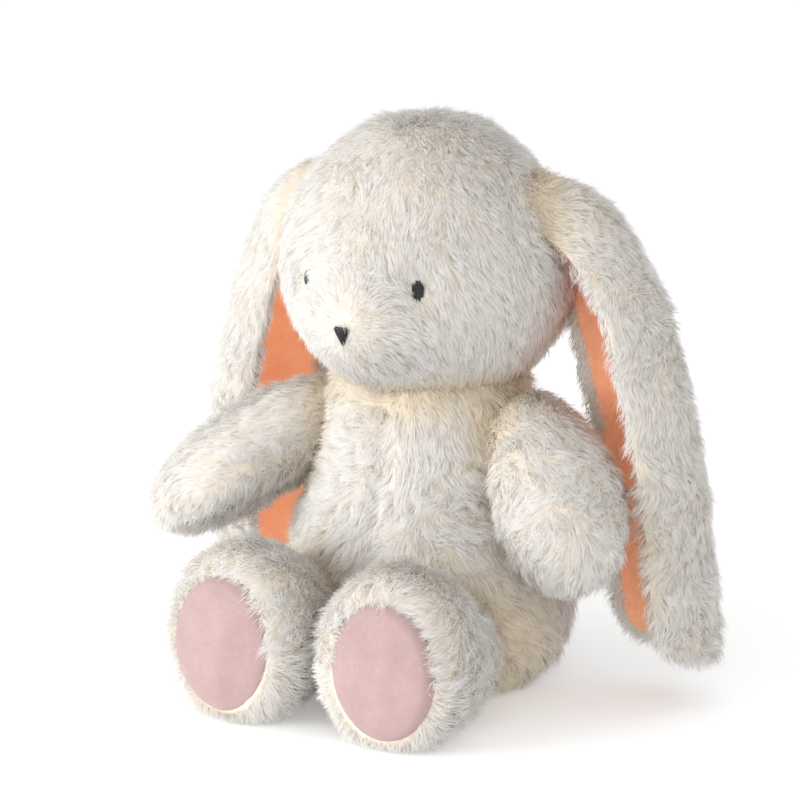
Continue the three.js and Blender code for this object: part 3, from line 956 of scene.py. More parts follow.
@dataclass(frozen=True)
class ClothFinish:
    """A cloth or a fibre: one colour, mottled lighter and darker, with a fine relief and some sheen."""

    name: str
    colour: tuple[float, float, float]
    shade: float = 0.80  # the darker colour, as a share of the lighter one
    mottle: float = 60.0
    grain: float = 1800.0
    relief: float = 0.00015
    roughness: float = 0.85
    sheen: float = 0.25
    specular: float = 0.2
    glow: float = 0.0  # painted light: a glow in place of light that would come through thin cloth

    def material(self, mottle: bpy.types.NodeTree) -> bpy.types.Material:
        """The material.

        Args:
            mottle: the shared noise group.

        Returns:
            A material on Object coordinates.
        """
        made = bpy.data.materials.new(self.name)
        made.use_nodes = True
        graph = Graph(made.node_tree)
        patches = graph.node("ShaderNodeGroup", node_tree=mottle)
        patches.inputs["Scale"].default_value = self.mottle
        light = (*self.colour, 1)
        dark = (*(channel * self.shade for channel in self.colour), 1)
        share = graph.node("ShaderNodeMapRange", {0: patches.outputs["Value"], 1: 0.35, 2: 0.65}).outputs[0]
        colour = graph.blend(share, dark, light)
        place = graph.node("ShaderNodeTexCoord").outputs["Object"]
        grain = graph.node("ShaderNodeTexNoise", {"Vector": place, "Scale": self.grain, "Detail": 2.0})
        bump_inputs = {"Height": grain.outputs["Fac"], "Distance": self.relief, "Strength": 0.8}
        relief = graph.node("ShaderNodeBump", bump_inputs).outputs[0]
        shader_inputs = {
            "Base Color": colour,
            "Roughness": self.roughness,
            "Specular IOR Level": self.specular,
            "Sheen Weight": self.sheen,
            "Sheen Roughness": 0.45,
            # Painted light: the glow stands in for light coming through thin cloth.
            "Emission Color": colour,
            "Emission Strength": self.glow,
            "Normal": relief,
        }
        shader = graph.node("ShaderNodeBsdfPrincipled", shader_inputs).outputs[0]
        graph.node("ShaderNodeOutputMaterial", {"Surface": shader})
        return made


@dataclass
class Palette:
    """All the object's materials, made once."""

    fur: bpy.types.Material
    backing: bpy.types.Material
    lining: dict[int, bpy.types.Material]  # by side: lit and shaded copies, the right one lighter and with more painted glow
    velour: bpy.types.Material
    eye_thread: bpy.types.Material
    nose_thread: bpy.types.Material
    white_thread: bpy.types.Material
    pouch: bpy.types.Material

    @classmethod
    def mix(cls) -> "Palette":
        """Makes every finish."""
        mottle = mottle_group()
        return cls(
            fur=FurFinish().material(),
            backing=ClothFinish("ivory_backing", (0.92, 0.83, 0.70), shade=0.94, sheen=0.1).material(mottle),
            # Painted light: the right lining is a lit copy, lighter and with more painted glow; the left one is
            # the shaded copy.
            lining={
                1: ClothFinish("peach_velour", (0.97, 0.44, 0.25), sheen=0.5, glow=0.10).material(mottle),
                -1: ClothFinish("peach_velour_lit", (0.99, 0.46, 0.25), glow=0.31).material(mottle),
            },
            velour=ClothFinish("blush_velour", (0.50, 0.350, 0.342), shade=0.88, sheen=0.3).material(mottle),
            eye_thread=ClothFinish(
                "eye_thread", (0.010, 0.010, 0.012), roughness=0.22, sheen=0.0, specular=0.6
            ).material(mottle),
            nose_thread=ClothFinish(
                "nose_thread", (0.014, 0.013, 0.015), roughness=0.5, sheen=0.05, specular=0.35
            ).material(mottle),
            white_thread=ClothFinish("white_thread", (0.85, 0.82, 0.76), roughness=0.6).material(mottle),
            pouch=ClothFinish("pouch_cloth", (0.78, 0.74, 0.68), roughness=0.9).material(mottle),
        )


# ---- Pieces and panels -------------------------------------------------------------------------------------


def dress(piece: bpy.types.Object, body: str, finish: bpy.types.Material, slot: Slot) -> bpy.types.Object:
    """Gives a piece its finish and the CAD body it rides on, and logs it.

    Args:
        piece: a finished piece, in its place.
        body: the CAD body.
        finish: its material.
        slot: not used.

    Returns:
        The same piece.
    """
    piece.data.materials.append(finish)
    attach(piece, body)
    log.info("%-28s %7d faces, rides on %s", piece.name, len(piece.data.polygons), body)
    return piece


@dataclass(frozen=True)
class Panel:
    """One cut piece of fur fabric: its pile's name, the CAD node it stands for, and which roots it owns."""

    pile: str
    node: str
    owns: Callable[[Array], Array]


def coat(blades: Blades, panels: list[Panel], body: str, palette: Palette) -> list[bpy.types.Object]:
    """Makes one fur piece for each panel, out of the blades whose roots lie on it.

    Args:
        blades: every blade of a skin.
        panels: the skin's panels; a blade goes to the first that owns its root.
        body: the CAD body that the skin rides on.
        palette: the materials.

    Returns:
        The pieces.
    """
    free = np.ones(len(blades), dtype=bool)
    pieces = []
    for panel in panels:
        mine = free & panel.owns(blades.root)
        free &= ~mine
        chosen = blades.where(mine)
        piece = blade_mesh(panel.pile, chosen)
        # Painted shade: each blade's share of the tan tint where its part lies close to another.
        paint(piece.data, "painted_shade_near_parts", np.repeat(painted_shade_near_parts(chosen.root, body), BLADE_VERTICES))
        dress(piece, body, palette.fur, Slot.FUR)
        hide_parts(panel.node)
        pieces.append(piece)
    return pieces


def skin_piece(name: str, surface: Surface, body: str, palette: Palette, *nodes: str) -> bpy.types.Object:
    """The stuffed cover under a coat of fur: a padded piece that stands for the CAD's stuffing.

    Args:
        name: the piece's name.
        surface: the stuffed surface.
        body: the CAD body.
        palette: the materials.
        nodes: the CAD nodes it stands for.

    Returns:
        The piece.
    """
    piece = dress(mesh_object(name, surface), body, palette.backing, Slot.STUFFING)
    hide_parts(*nodes)
    return piece


def anywhere(points: Array) -> Array:
    """Owns every root."""
    return np.ones(len(points), dtype=bool)


# ---- Sub-assemblies ----------------------------------------------------------------------------------------


@dataclass
class Head:
    """The head: a stuffed ball of five panels with a gusset over its top, eyes and a nose."""

    palette: Palette
    shape: HeadShape = field(default_factory=HeadShape)
    inset: float = 0.0022
    gusset_half_width: float = 0.023
    nose_half_height: float = 0.0045
    ear_root: tuple[float, float, float] = (0.060, 0.002, 0.236)  # as on the left side
    pile: Pile = field(
        default_factory=lambda: Pile(0.0092, stray=0.09, tuft_turn=0.19, gather=0.32, patch_turn=0.34, salt=11)
    )

    def nose_place(self) -> Array:
        """Where the nose sits: the head's surface along the snout."""
        return self.shape.place(self.shape.snout()[None, :])[0]

    def seam_height(self, points: Array) -> Array:
        """Height above the plane through the nose's top that parts the sides from the cheeks."""
        corner = self.nose_place() + np.array([0, 0, self.nose_half_height + 0.001])
        return (points - corner) @ np.array([0, 0.18, 1])

    def seams(self, points: Array) -> Array:
        """Distance from the nearest seam of the head."""
        height = self.seam_height(points)
        gusset = np.where(height > 0, np.abs(np.abs(points[:, 0]) - self.gusset_half_width), 1.0)
        chin = np.where(height < 0, np.abs(points[:, 0]), 1.0)
        return np.minimum(np.minimum(np.abs(height), gusset), chin)

    def comb(self, points: Array, normals: Array) -> Array:
        """Combed away from the nose and outwards over the face, then back and down over the rest."""
        away = unit(along_surface(points - self.nose_place(), normals))
        down = unit(along_surface(np.broadcast_to(-UP, points.shape), normals))
        offset = points - self.nose_place()
        near = bump(np.linalg.norm(offset, axis=1), 0.034)[:, None]
        above = step_up(offset[:, 2], 0.0, 0.002) * bump(offset[:, 2], 0.009)
        brow = (bump(offset[:, 0], 0.006) * above)[:, None]
        return unit(away * near * (1 - 2 * brow) + down * (1 - near) + down * brow * 1.5 + away * 0.15)

    def trim(self, points: Array) -> Array:
        """Shorter round the nose, the eyes and the ears' roots, and gone under the eyes and the lower nose."""
        nose = np.linalg.norm(points - self.nose_place() + np.array([0, 0.001, 0]), axis=1)
        share = 0.58 + 0.42 * step_up(nose, 0.004, 0.026)
        lower = points[:, 2] < self.nose_place()[2] + 0.0006
        share *= np.where(lower, step_up(nose, 0.0030, 0.0036), 1)
        for side in (1, -1):
            eye = self.shape.place(self.shape.eye(side)[None, :])[0]
            away = np.linalg.norm(points - eye, axis=1)
            share *= (0.52 + 0.48 * step_up(away, 0.005, 0.013)) * step_up(away, 0.0016, 0.0027)
        for side in (1, -1):
            root = np.array(self.ear_root) * np.array([side, 1, 1])
            ear = np.linalg.norm(points - root, axis=1)
            share *= 0.35 + 0.65 * step_up(ear, 0.010, 0.026)
        return share

    def panels(self) -> list[Panel]:
        """The gusset over the top, the two sides and the two cheeks."""
        return [
            Panel(
                "head_top_pile",
                "head_top_gusset",
                lambda p: (np.abs(p[:, 0]) < self.gusset_half_width) & (self.seam_height(p) > 0),
            ),
            Panel("head_side_left_pile", "head_side_left", lambda p: (p[:, 0] > 0) & (self.seam_height(p) > 0)),
            Panel("head_side_right_pile", "head_side_right", lambda p: self.seam_height(p) > 0),
            Panel("cheek_left_pile", "cheek_left", lambda p: p[:, 0] > 0),
            Panel("cheek_right_pile", "cheek_right", anywhere),
        ]

    def build(self) -> None:
        """Stuffs the head, grows its fur, and stitches its eyes and nose."""
        skin = ball_surface(lambda n: self.shape.place(n, self.inset))
        skin = Filling().stuff(skin, self.seams)
        skin_piece("head_skin", skin, "head", self.palette, "head_stuffing")
        coat(grow(skin, self.pile, self.comb, self.trim), self.panels(), "head", self.palette)
        for side, name in ((1, "left_eye"), (-1, "right_eye")):
            self.stitch_eye(side, name)
        self.stitch_nose()

    def stitch_eye(self, side: int, name: str) -> None:
        """An upright oval of satin stitch, domed a little, at the bottom of its dimple.

        Args:
            side: +1 for the bunny's left.
            name: the CAD node's name.
        """
        direction = self.shape.eye(side)
        place = self.shape.place(direction[None, :])[0] - direction * 0.0006
        surface = stitched_patch(place, direction, 0.0031, 0.0046, 0.0019, lambda v: np.sqrt(1 - v**2), 11)
        piece = mesh_object(name + "_stitches", surface)
        dress(piece, "head", self.palette.eye_thread, Slot.BLACK_THREAD)
        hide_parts(name)

    def stitch_nose(self) -> None:
        """A small satin-stitched triangle that points down."""
        direction = self.shape.snout()
        place = self.nose_place() - direction * 0.0020 - UP * 0.0006
        taper = lambda v: np.clip(0.12 + 0.88 * (v + 1) / 2, 0, 1) * np.sqrt(np.clip(1 - v**8, 0, 1))
        surface = stitched_patch(place, direction, 0.0046, 0.0046, 0.0018, taper, 13)
        piece = mesh_object("nose_stitches", surface)
        dress(piece, "head", self.palette.nose_thread, Slot.BLACK_THREAD)
        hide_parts("nose_embroidery")


def stitched_patch(
    place: Array,
    facing: Array,
    half_width: float,
    half_height: float,
    dome: float,
    outline: Callable[[Array], Array],
    stitches: int,
) -> Surface:
    """Satin stitch: rows of thread side by side over a small dome.

    Each stitch is a tube that runs from edge to edge across the patch, and the dome is a half ellipse.

    Args:
        place: the patch's middle.
        facing: the direction it faces.
        half_width: half its width.
        half_height: half its height.
        dome: how far its middle stands out.
        outline: the half-width at each height from -1 to 1, as a share of the greatest.
        stitches: how many stitches lie one above another.

    Returns:
        All the stitches as one surface of closed tubes.
    """
    facing = unit(facing)
    right = unit(np.cross(UP, facing))
    up = np.cross(facing, right)
    thread = half_height / stitches * 1.25
    around, along = 8, 18
    points: list[Array] = []
    faces: list[Array] = []
    ring = ring_faces(along - 1, around)
    for row in range(stitches):
        height = -1 + (2 * row + 1) / stitches
        reach = float(outline(np.array([height]))[0]) * half_width
        run = np.linspace(-1, 1, along + 1)
        edge = np.clip(1 - run**2, 0, 1) ** 0.5
        lift = dome * math.sqrt(max(0.0, 1 - height**2 * 0.9)) * edge
        line = place + right * (run * reach)[:, None] + up * (height * half_height) + facing * lift[:, None]
        turn = 2 * math.pi * np.arange(around) / around
        radius = thread * np.clip(edge * 3, 0, 1)[1:-1]
        rings = line[1:-1, None] + radius[:, None, None] * (
            np.cos(turn)[None, :, None] * up + np.sin(turn)[None, :, None] * facing
        )
        faces.append(ring + sum(len(p) for p in points))
        points.append(np.vstack([line[:1], rings.reshape(-1, 3), line[-1:]]))
    return Surface(np.vstack(points), np.vstack(faces)).outward()


@dataclass
class Torso:
    """The body: a stuffed pear of two fronts, two backs and a seat, with a round tail behind."""

    palette: Palette
    shape: TorsoShape = field(default_factory=TorsoShape)
    inset: float = 0.0022
    seat_top: float = 0.008
    tail_centre: tuple[float, float, float] = (0.0, 0.070, 0.034)
    tail_radius: float = 0.019
    pile: Pile = field(
        default_factory=lambda: Pile(length=0.0105, tuft_size=0.006, tuft_turn=0.34, gather=0.52, salt=23)
    )
    tail_pile: Pile = field(default_factory=lambda: Pile(length=0.0110, salt=29))

    def seams(self, points: Array) -> Array:
        """Distance from the centre seams, the side seams and the seat's edge."""
        centre = np.abs(points[:, 0])
        side = np.abs(points[:, 1])
        return np.minimum(np.minimum(centre, side), np.abs(points[:, 2] - self.seat_top))

    def comb(self, points: Array, normals: Array) -> Array:
        """Combed down and a little outwards."""
        down = along_surface(np.broadcast_to(-UP, points.shape), normals)
        outward = along_surface(points * np.array([1, 0, 0]), normals)
        return unit(down + outward * 6)

    def trim(self, points: Array) -> Array:
        """None inside the head, shorter towards the seat's underside and in the crease down the front."""
        share = step_up(-points[:, 2], -0.160, -0.148)
        crease = bump(points[:, 0], 0.004) * (points[:, 1] < 0)
        share *= 1 - 0.35 * crease
        return share * step_up(points[:, 2], -0.004, 0.011)

    def panels(self) -> list[Panel]:
        """The seat, then the fronts and the backs."""
        return [
            Panel("seat_pile", "seat_panel", lambda p: p[:, 2] < self.seat_top),
            Panel("torso_front_left_pile", "torso_front_left", lambda p: (p[:, 1] < 0) & (p[:, 0] > 0)),
            Panel("torso_front_right_pile", "torso_front_right", lambda p: p[:, 1] < 0),
            Panel("torso_back_left_pile", "torso_back_left", lambda p: p[:, 0] > 0),
            Panel("torso_back_right_pile", "torso_back_right", anywhere),
        ]

    def build(self) -> None:
        """Stuffs the body and the tail, and grows their fur."""
        skin = ball_surface(lambda n: self.shape.place(n, self.inset))
        crease = 0.004 * bump(skin.points[:, 0], 0.006) * (skin.points[:, 1] < 0)
        skin.points[:, 1] += crease
        skin = Filling().stuff(skin, self.seams)
        skin_piece("torso_skin", skin, "torso", self.palette, "torso_stuffing")
        coat(grow(skin, self.pile, self.comb, self.trim), self.panels(), "torso", self.palette)
        self.build_tail()

    def build_tail(self) -> None:
        """A stuffed ball of fur."""
        centre = np.array(self.tail_centre)
        ball = ball_surface(lambda n: centre + n * (self.tail_radius - self.inset), 40, 26)
        ball = Filling(voxel=0.003).stuff(ball, lambda p: np.linalg.norm(p - centre + [0, 0.02, 0], axis=1))
        skin_piece("tail_skin", ball, "torso", self.palette, "tail_stuffing")
        away = lambda p, n: unit(along_surface(np.broadcast_to([0.0, 0.6, -1.0], p.shape), n))
        panels = [Panel("tail_pile", "tail_fur", anywhere)]
        coat(grow(ball, self.tail_pile, away, lambda p: np.ones(len(p))), panels, "torso", self.palette)


@dataclass
class Limb:
    """An arm or a leg: a stuffed tube of two panels."""

    palette: Palette
    name: str
    shape: LimbShape
    inner_is_ahead: bool
    body: str
    inset: float = 0.0022
    bare_start: float = 0.0
    pile: Pile = field(default_factory=Pile)

    def seams(self, points: Array) -> Array:
        """Distance from the plane that parts the two panels."""
        centre, normal = self.shape.middle_plane()
        return np.abs((points - centre) @ normal)

    def along(self, points: Array) -> Array:
        """Each point's place along the limb, from 0 to 1: the share of the nearest point on its line."""
        shares = np.linspace(0, 1, 60)
        line = Route(list(self.shape.axis)).point(shares)
        nearest = np.full(len(points), np.inf)
        place = np.zeros(len(points))
        for share, spot in zip(shares, line):
            distance = np.sum((points - spot) ** 2, axis=1)
            closer = distance < nearest
            nearest[closer] = distance[closer]
            place[closer] = share
        return place

    def comb(self, points: Array, normals: Array) -> Array:
        """Combed towards the paw, and down."""
        route = Route(list(self.shape.axis))
        forward = route.tangent(self.along(points))
        return unit(along_surface(forward + np.array([0, 0, -0.45]), normals))

    def trim(self, points: Array) -> Array:
        """None at the end that is sewn in, and shorter where the limb lies on the floor."""
        share = step_up(self.along(points), self.bare_start, self.bare_start + 0.10)
        return share * (0.4 + 0.6 * step_up(points[:, 2], 0.001, 0.010))

    def panels(self) -> list[Panel]:
        """The inner and the outer panel."""
        centre, normal = self.shape.middle_plane()
        ahead = 1 if self.inner_is_ahead else -1
        return [
            Panel(
                self.name + "_inner_pile",
                self.name + "_inner_fur",
                lambda p: ((p - centre) @ normal) * ahead > 0,
            ),
            Panel(self.name + "_outer_pile", self.name + "_outer_fur", anywhere),
        ]

    def cover(self) -> Surface:
        """The sewn and stuffed cover."""
        return Filling().stuff(ball_surface(lambda n: self.shape.place(n, self.inset), 56, 72), self.seams)

    def build(self) -> None:
        """Stuffs the limb and grows its fur."""
        skin = self.cover()
        skin_piece(self.name + "_skin", skin, self.body, self.palette, self.name + "_stuffing")
        coat(grow(skin, self.pile, self.comb, self.trim), self.panels(), self.body, self.palette)


@dataclass
class Leg(Limb):
    """A leg that lies forwards, whose blunt end is closed by a velour foot pad."""

    side: int = 1
    pad_radii: tuple[float, float] = (0.026, 0.032)
    pad_drop: float = 0.004

    def pad_centre(self) -> Array:
        """The middle of the sole: the end of the leg's line, a little lower."""
        route = Route(list(self.shape.axis))
        return route.point(np.array([1.0]))[0] - UP * self.pad_drop

    def pad_share(self, points: Array) -> Array:
        """Distance from the pad's middle in units of its edge: 1 on the edge."""
        away = points - self.pad_centre()
        return np.hypot(away[:, 0] / self.pad_radii[0], away[:, 2] / self.pad_radii[1])

    def on_sole(self, points: Array) -> Array:
        """True in front of the leg's last bend, where the sole is."""
        return points[:, 1] < self.pad_centre()[1] + 0.016

    def trim(self, points: Array) -> Array:
        """As a limb, but bare under the pad."""
        bare = self.on_sole(points) & (self.pad_share(points) < 0.96)
        ring = np.where(self.on_sole(points), 0.86 + 0.14 * step_up(self.pad_share(points), 1.0, 1.3), 1)
        return super().trim(points) * ring * ~bare

    def comb(self, points: Array, normals: Array) -> Array:
        """Combed forwards on the leg, over the pad's upper edge, and off the pad elsewhere."""
        forward = super().comb(points, normals)
        away = points - self.pad_centre()
        inward = -unit(along_surface(away, normals))
        above = step_up(unit(away)[:, 2:], -0.3, 0.5) * 2 - 1
        near = np.where(self.on_sole(points), 1.0, 0.0)[:, None]
        return unit(forward * (1 - near * 0.9) + near * inward * above * 0.9 + near * 0.1 * forward)

    def panels(self) -> list[Panel]:
        """Inner and outer are parted by an upright plane along the leg."""
        line = self.shape.axis[-1][0]
        inner = lambda p: (p[:, 0] - line) * self.side < 0
        return [
            Panel(self.name + "_inner_pile", self.name + "_inner_fur", inner),
            Panel(self.name + "_outer_pile", self.name + "_outer_fur", anywhere),
        ]

    def build(self) -> None:
        """Stuffs the leg, grows its fur and sews on the pad."""
        super().build()
        self.sew_pad()

    def sew_pad(self) -> None:
        """An oval of velour, crowned and pulled in at its seam, stretched over the sole."""
        rings, around = 26, 72
        share = (np.arange(1, rings + 1) / rings)[:, None]
        turn = (2 * math.pi * np.arange(around) / around)[None, :]
        centre = self.pad_centre()
        x = self.pad_radii[0] * share * np.cos(turn)
        z = self.pad_radii[1] * share * np.sin(turn)
        points = np.stack([x, 0 * x, z], axis=-1).reshape(-1, 3)
        radius = np.repeat(share[:, 0], around)
        crown = 0.0068 * (1 - radius**2.2) ** 0.7 - 0.0022 * bump(1 - radius, 0.05)
        rumple = swirl(points + centre, 0.028, 61)[:, 0] * 0.00055 * (1 - radius**4)
        front = centre + points
        front[:, 1] -= crown + rumple - 0.0016
        middle = centre + np.array([0, -(0.0068 + rumple[0] - 0.0016), 0])
        top = np.vstack([middle, front])
        under = top + np.array([0, 0.0014, 0])
        disc = disc_faces(rings, around)
        count = len(top)
        rim = 1 + (rings - 1) * around + np.arange(around)
        nxt = np.roll(rim, -1)
        edge_a = np.stack([rim, nxt, nxt + count], axis=1)
        edge_b = np.stack([rim, nxt + count, rim + count], axis=1)
        points = np.vstack([top, under])
        faces = np.vstack([disc, disc[:, ::-1] + count, edge_a[:, ::-1], edge_b[:, ::-1]])
        piece = mesh_object(self.name.replace("leg", "foot") + "_velour", Surface(points, faces).outward())
        dress(piece, self.body, self.palette.velour, Slot.VELOUR)
        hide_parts(self.name.replace("leg", "foot") + "_pad")


@dataclass(frozen=True)
class Neighbour:
    """A part as a row of balls, to tell which fur lies close beside it and gets painted shade."""

    body: str
    centres: Array
    radii: Array


def limb_balls(body: str, shape: LimbShape) -> Neighbour:
    """A limb as balls along its line, as thick as the mean of its width and depth."""
    shares = np.linspace(0.05, 0.95, 16)
    thick = (np.array(shape.widths) + np.array(shape.depths)) / 2
    return Neighbour(body, Route(list(shape.axis)).point(shares), spline_through(thick, shares))


def neighbours() -> list[Neighbour]:
    """Every stuffed part of the bunny."""
    head = HeadShape()
    torso = np.array(TorsoShape().profile[2:11])
    spine = np.stack([0 * torso[:, 0], 0 * torso[:, 0], torso[:, 1]], axis=1)
    return [
        Neighbour("head", np.array([head.centre]), np.array([head.radii[2]])),
        Neighbour("torso", spine, torso[:, 0] * 0.95),
        limb_balls("left_arm", LEFT_ARM),
        limb_balls("right_arm", RIGHT_ARM),
        limb_balls("left_leg", leg_shape(1)),
        limb_balls("right_leg", leg_shape(-1)),
    ]


def painted_shade_near_parts(points: Array, body: str) -> Array:
    """How much painted shade each root gets for lying close to another part: 1 where it touches, fading to 0 as
    the gap grows.

    The legs lie open side by side, so they count as one part.

    Args:
        points: the roots.
        body: the CAD body that they ride on.

    Returns:
        The share for each root.
    """
    gap = np.full(len(points), np.inf)
    for other in neighbours():
        if other.body == body or (other.body.endswith("leg") and body.endswith("leg")):
            continue
        for centre, radius in zip(other.centres, other.radii):
            gap = np.minimum(gap, np.linalg.norm(points - centre, axis=1) - radius)
    return bump(np.maximum(gap, 0), 0.011)


def disc_faces(rings: int, around: int) -> Array:
    """Triangles of a disc: vertex 0 in its middle and then `rings` rings, the last one being its edge."""
    index = 1 + np.arange(rings * around).reshape(rings, around)
    turned = np.roll(index, -1, axis=1)
    fan = np.stack([np.zeros(around, int), index[0], turned[0]], axis=1)
    a, b = index[:-1].ravel(), turned[:-1].ravel()
    c, d = turned[1:].ravel(), index[1:].ravel()
    return np.vstack([fan, np.stack([a, d, c], axis=1), np.stack([a, c, b], axis=1)])


@dataclass
class Ear:
    """A long hanging ear: fur on its outer side and over its rim, peach velour inside."""

    palette: Palette
    side: int
    name: str
    rings: int = 130
    around: int = 64
    rim: float = 0.0065
    pile: Pile = field(default_factory=lambda: Pile(length=0.0090, salt=47, density=2.2e6))

    def grid(self) -> tuple[Array, Array, Array]:
        """For the rows of the ear's body: the share along, the offset across and the rise of each vertex."""
        shape = EarShape(self.side)
        share = np.linspace(0.004, 0.999, self.rings)
        turn = 2 * math.pi * np.arange(self.around) / self.around
        v, u = np.meshgrid(share, turn, indexing="ij")
        across = np.maximum(shape.half_width(v) - 0.001, 0.0004) * np.cos(u)
        rise = shape.half_thickness * np.sign(np.sin(u)) * np.abs(np.sin(u)) ** 0.6
        return v, across, rise

    def surface(self) -> Surface:
        """The ear's body: its section is a lens, thin at its edges."""
        rows = EarShape(self.side).place(*self.grid()).reshape(-1, 3)
        points = np.vstack([rows[: self.around].mean(axis=0), rows, rows[-self.around :].mean(axis=0)])
        return Surface(points, ring_faces(self.rings, self.around)).outward()

    def lookup(self, points: Array, surface: Surface) -> Array:
        """Each point's nearest row of the grid, as share along, offset across and rise."""
        tree = KDTree(len(surface.points) - 2)
        for index, spot in enumerate(surface.points[1:-1]):
            tree.insert(spot, index)
        tree.balance()
        nearest = [tree.find(point)[1] for point in points]
        return np.stack([values.ravel()[nearest] for values in self.grid()], axis=1)

    def build(self) -> None:
        """Makes the ear's body, its fur and its lining."""
        shape = EarShape(self.side)
        skin = self.surface()
        piece = dress(mesh_object(self.name + "_skin", skin), self.name, self.palette.backing, Slot.FUR)
        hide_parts(self.name + "_fur")
        route = shape.route()
        mirror = np.array([self.side, 1, 1])

        def comb(points: Array, normals: Array) -> Array:
            """Combed towards the tip, and from the ridge out to the edges."""
            along, across, _ = self.lookup(points, skin).T
            forward = route.tangent(along) * mirror
            ridge = shape.place(along, np.full(len(points), shape.ridge_shift), np.zeros(len(points)))
            aside = unit(along_surface(points - ridge, forward))
            edge = np.clip(np.abs(across) / 0.035, 0, 1)[:, None]
            return unit(along_surface(forward + aside * 0.35 * edge, normals))

        def trim(points: Array) -> Array:
            """Full outside and round the rim, and none where the lining lies."""
            along, across, rise = self.lookup(points, skin).T
            from_edge = shape.half_width(along) - np.abs(across)
            in_rim = (from_edge < self.rim) | (along > 0.972) | (along < 0.03)
            inside = rise < -0.0002
            share = np.where(inside, np.where(in_rim, 0.7, 0.0), 1.0)
            return share * (0.5 + 0.5 * step_up(points[:, 2], 0.002, 0.012))

        def ahead(points: Array) -> Array:
            """Owns the roots in front of the ridge."""
            return self.lookup(points, skin)[:, 1] > shape.ridge_shift

        front = Panel(self.name + "_front_pile", self.name + "_fur", ahead)
        back = Panel(self.name + "_back_pile", self.name + "_fur", anywhere)
        coat(grow(skin, self.pile, comb, trim), [front, back], self.name, self.palette)
        self.line()

    def line(self) -> None:
        """The velour inside the ear, with soft folds along it and its edges laid under the fur's rim."""
        shape = EarShape(self.side)
        rows, columns = 150, 48
        v = np.linspace(0.02, 0.978, rows)
        w = np.linspace(-1, 1, columns)
        place, offset = np.meshgrid(v, w, indexing="ij")
        half = np.maximum(shape.half_width(place) - self.rim + 0.002, 0.0015)
        across = half * offset
        flat = np.stack([across, place * 0.27, 0 * place], axis=-1).reshape(-1, 3)
        folds = swirl(flat * np.array([1.6, 0.6, 1]), 0.030, 71 + self.side)[:, 0].reshape(place.shape)
        fade = 1 - offset**4
        depth = shape.half_thickness * np.clip(1 - (across / shape.half_width(place)) ** 2, 0.02, 1) ** 0.3
        rise = -(depth + 0.0008 + (0.0007 + 0.0006 * folds) * fade)
        top = shape.place(place, across, rise)
        under = shape.place(place, across, rise + 0.0011)
        piece = mesh_object(self.name + "_velour", slab(top, under))
        dress(piece, self.name, self.palette.lining[self.side], Slot.LINING)
        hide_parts(self.name + "_lining")
        wide = np.linalg.norm(np.diff(top, axis=1), axis=-1).sum(axis=1)
        long = float(np.linalg.norm(np.diff(top[:, columns // 2], axis=0), axis=-1).sum())
        size = (float(wide.max()), long)
        log.info("%s lining is cut %.0f by %.0f mm", self.name, size[0] * 1000, size[1] * 1000)


def slab(top: Array, under: Array) -> Surface:
    """A thin closed sheet between two grids of points of the same shape."""
    rows, columns, _ = top.shape
    index = np.arange(rows * columns).reshape(rows, columns)
    a, b, c, d = index[:-1, :-1], index[:-1, 1:], index[1:, 1:], index[1:, :-1]
    front = np.stack([a, b, c, a, c, d], axis=-1).reshape(-1, 3)
    count = rows * columns
    edge = np.concatenate([index[0, :-1], index[:-1, -1], index[-1, :0:-1], index[:0:-1, 0]])
    after = np.roll(edge, -1)
    wall = np.stack([edge, edge + count, after + count, edge, after + count, after], axis=-1).reshape(-1, 3)
    points = np.vstack([top.reshape(-1, 3), under.reshape(-1, 3)])
    return Surface(points, np.vstack([front, front[:, ::-1] + count, wall])).outward()


# ---- The studio --------------------------------------------------------------------------------------------


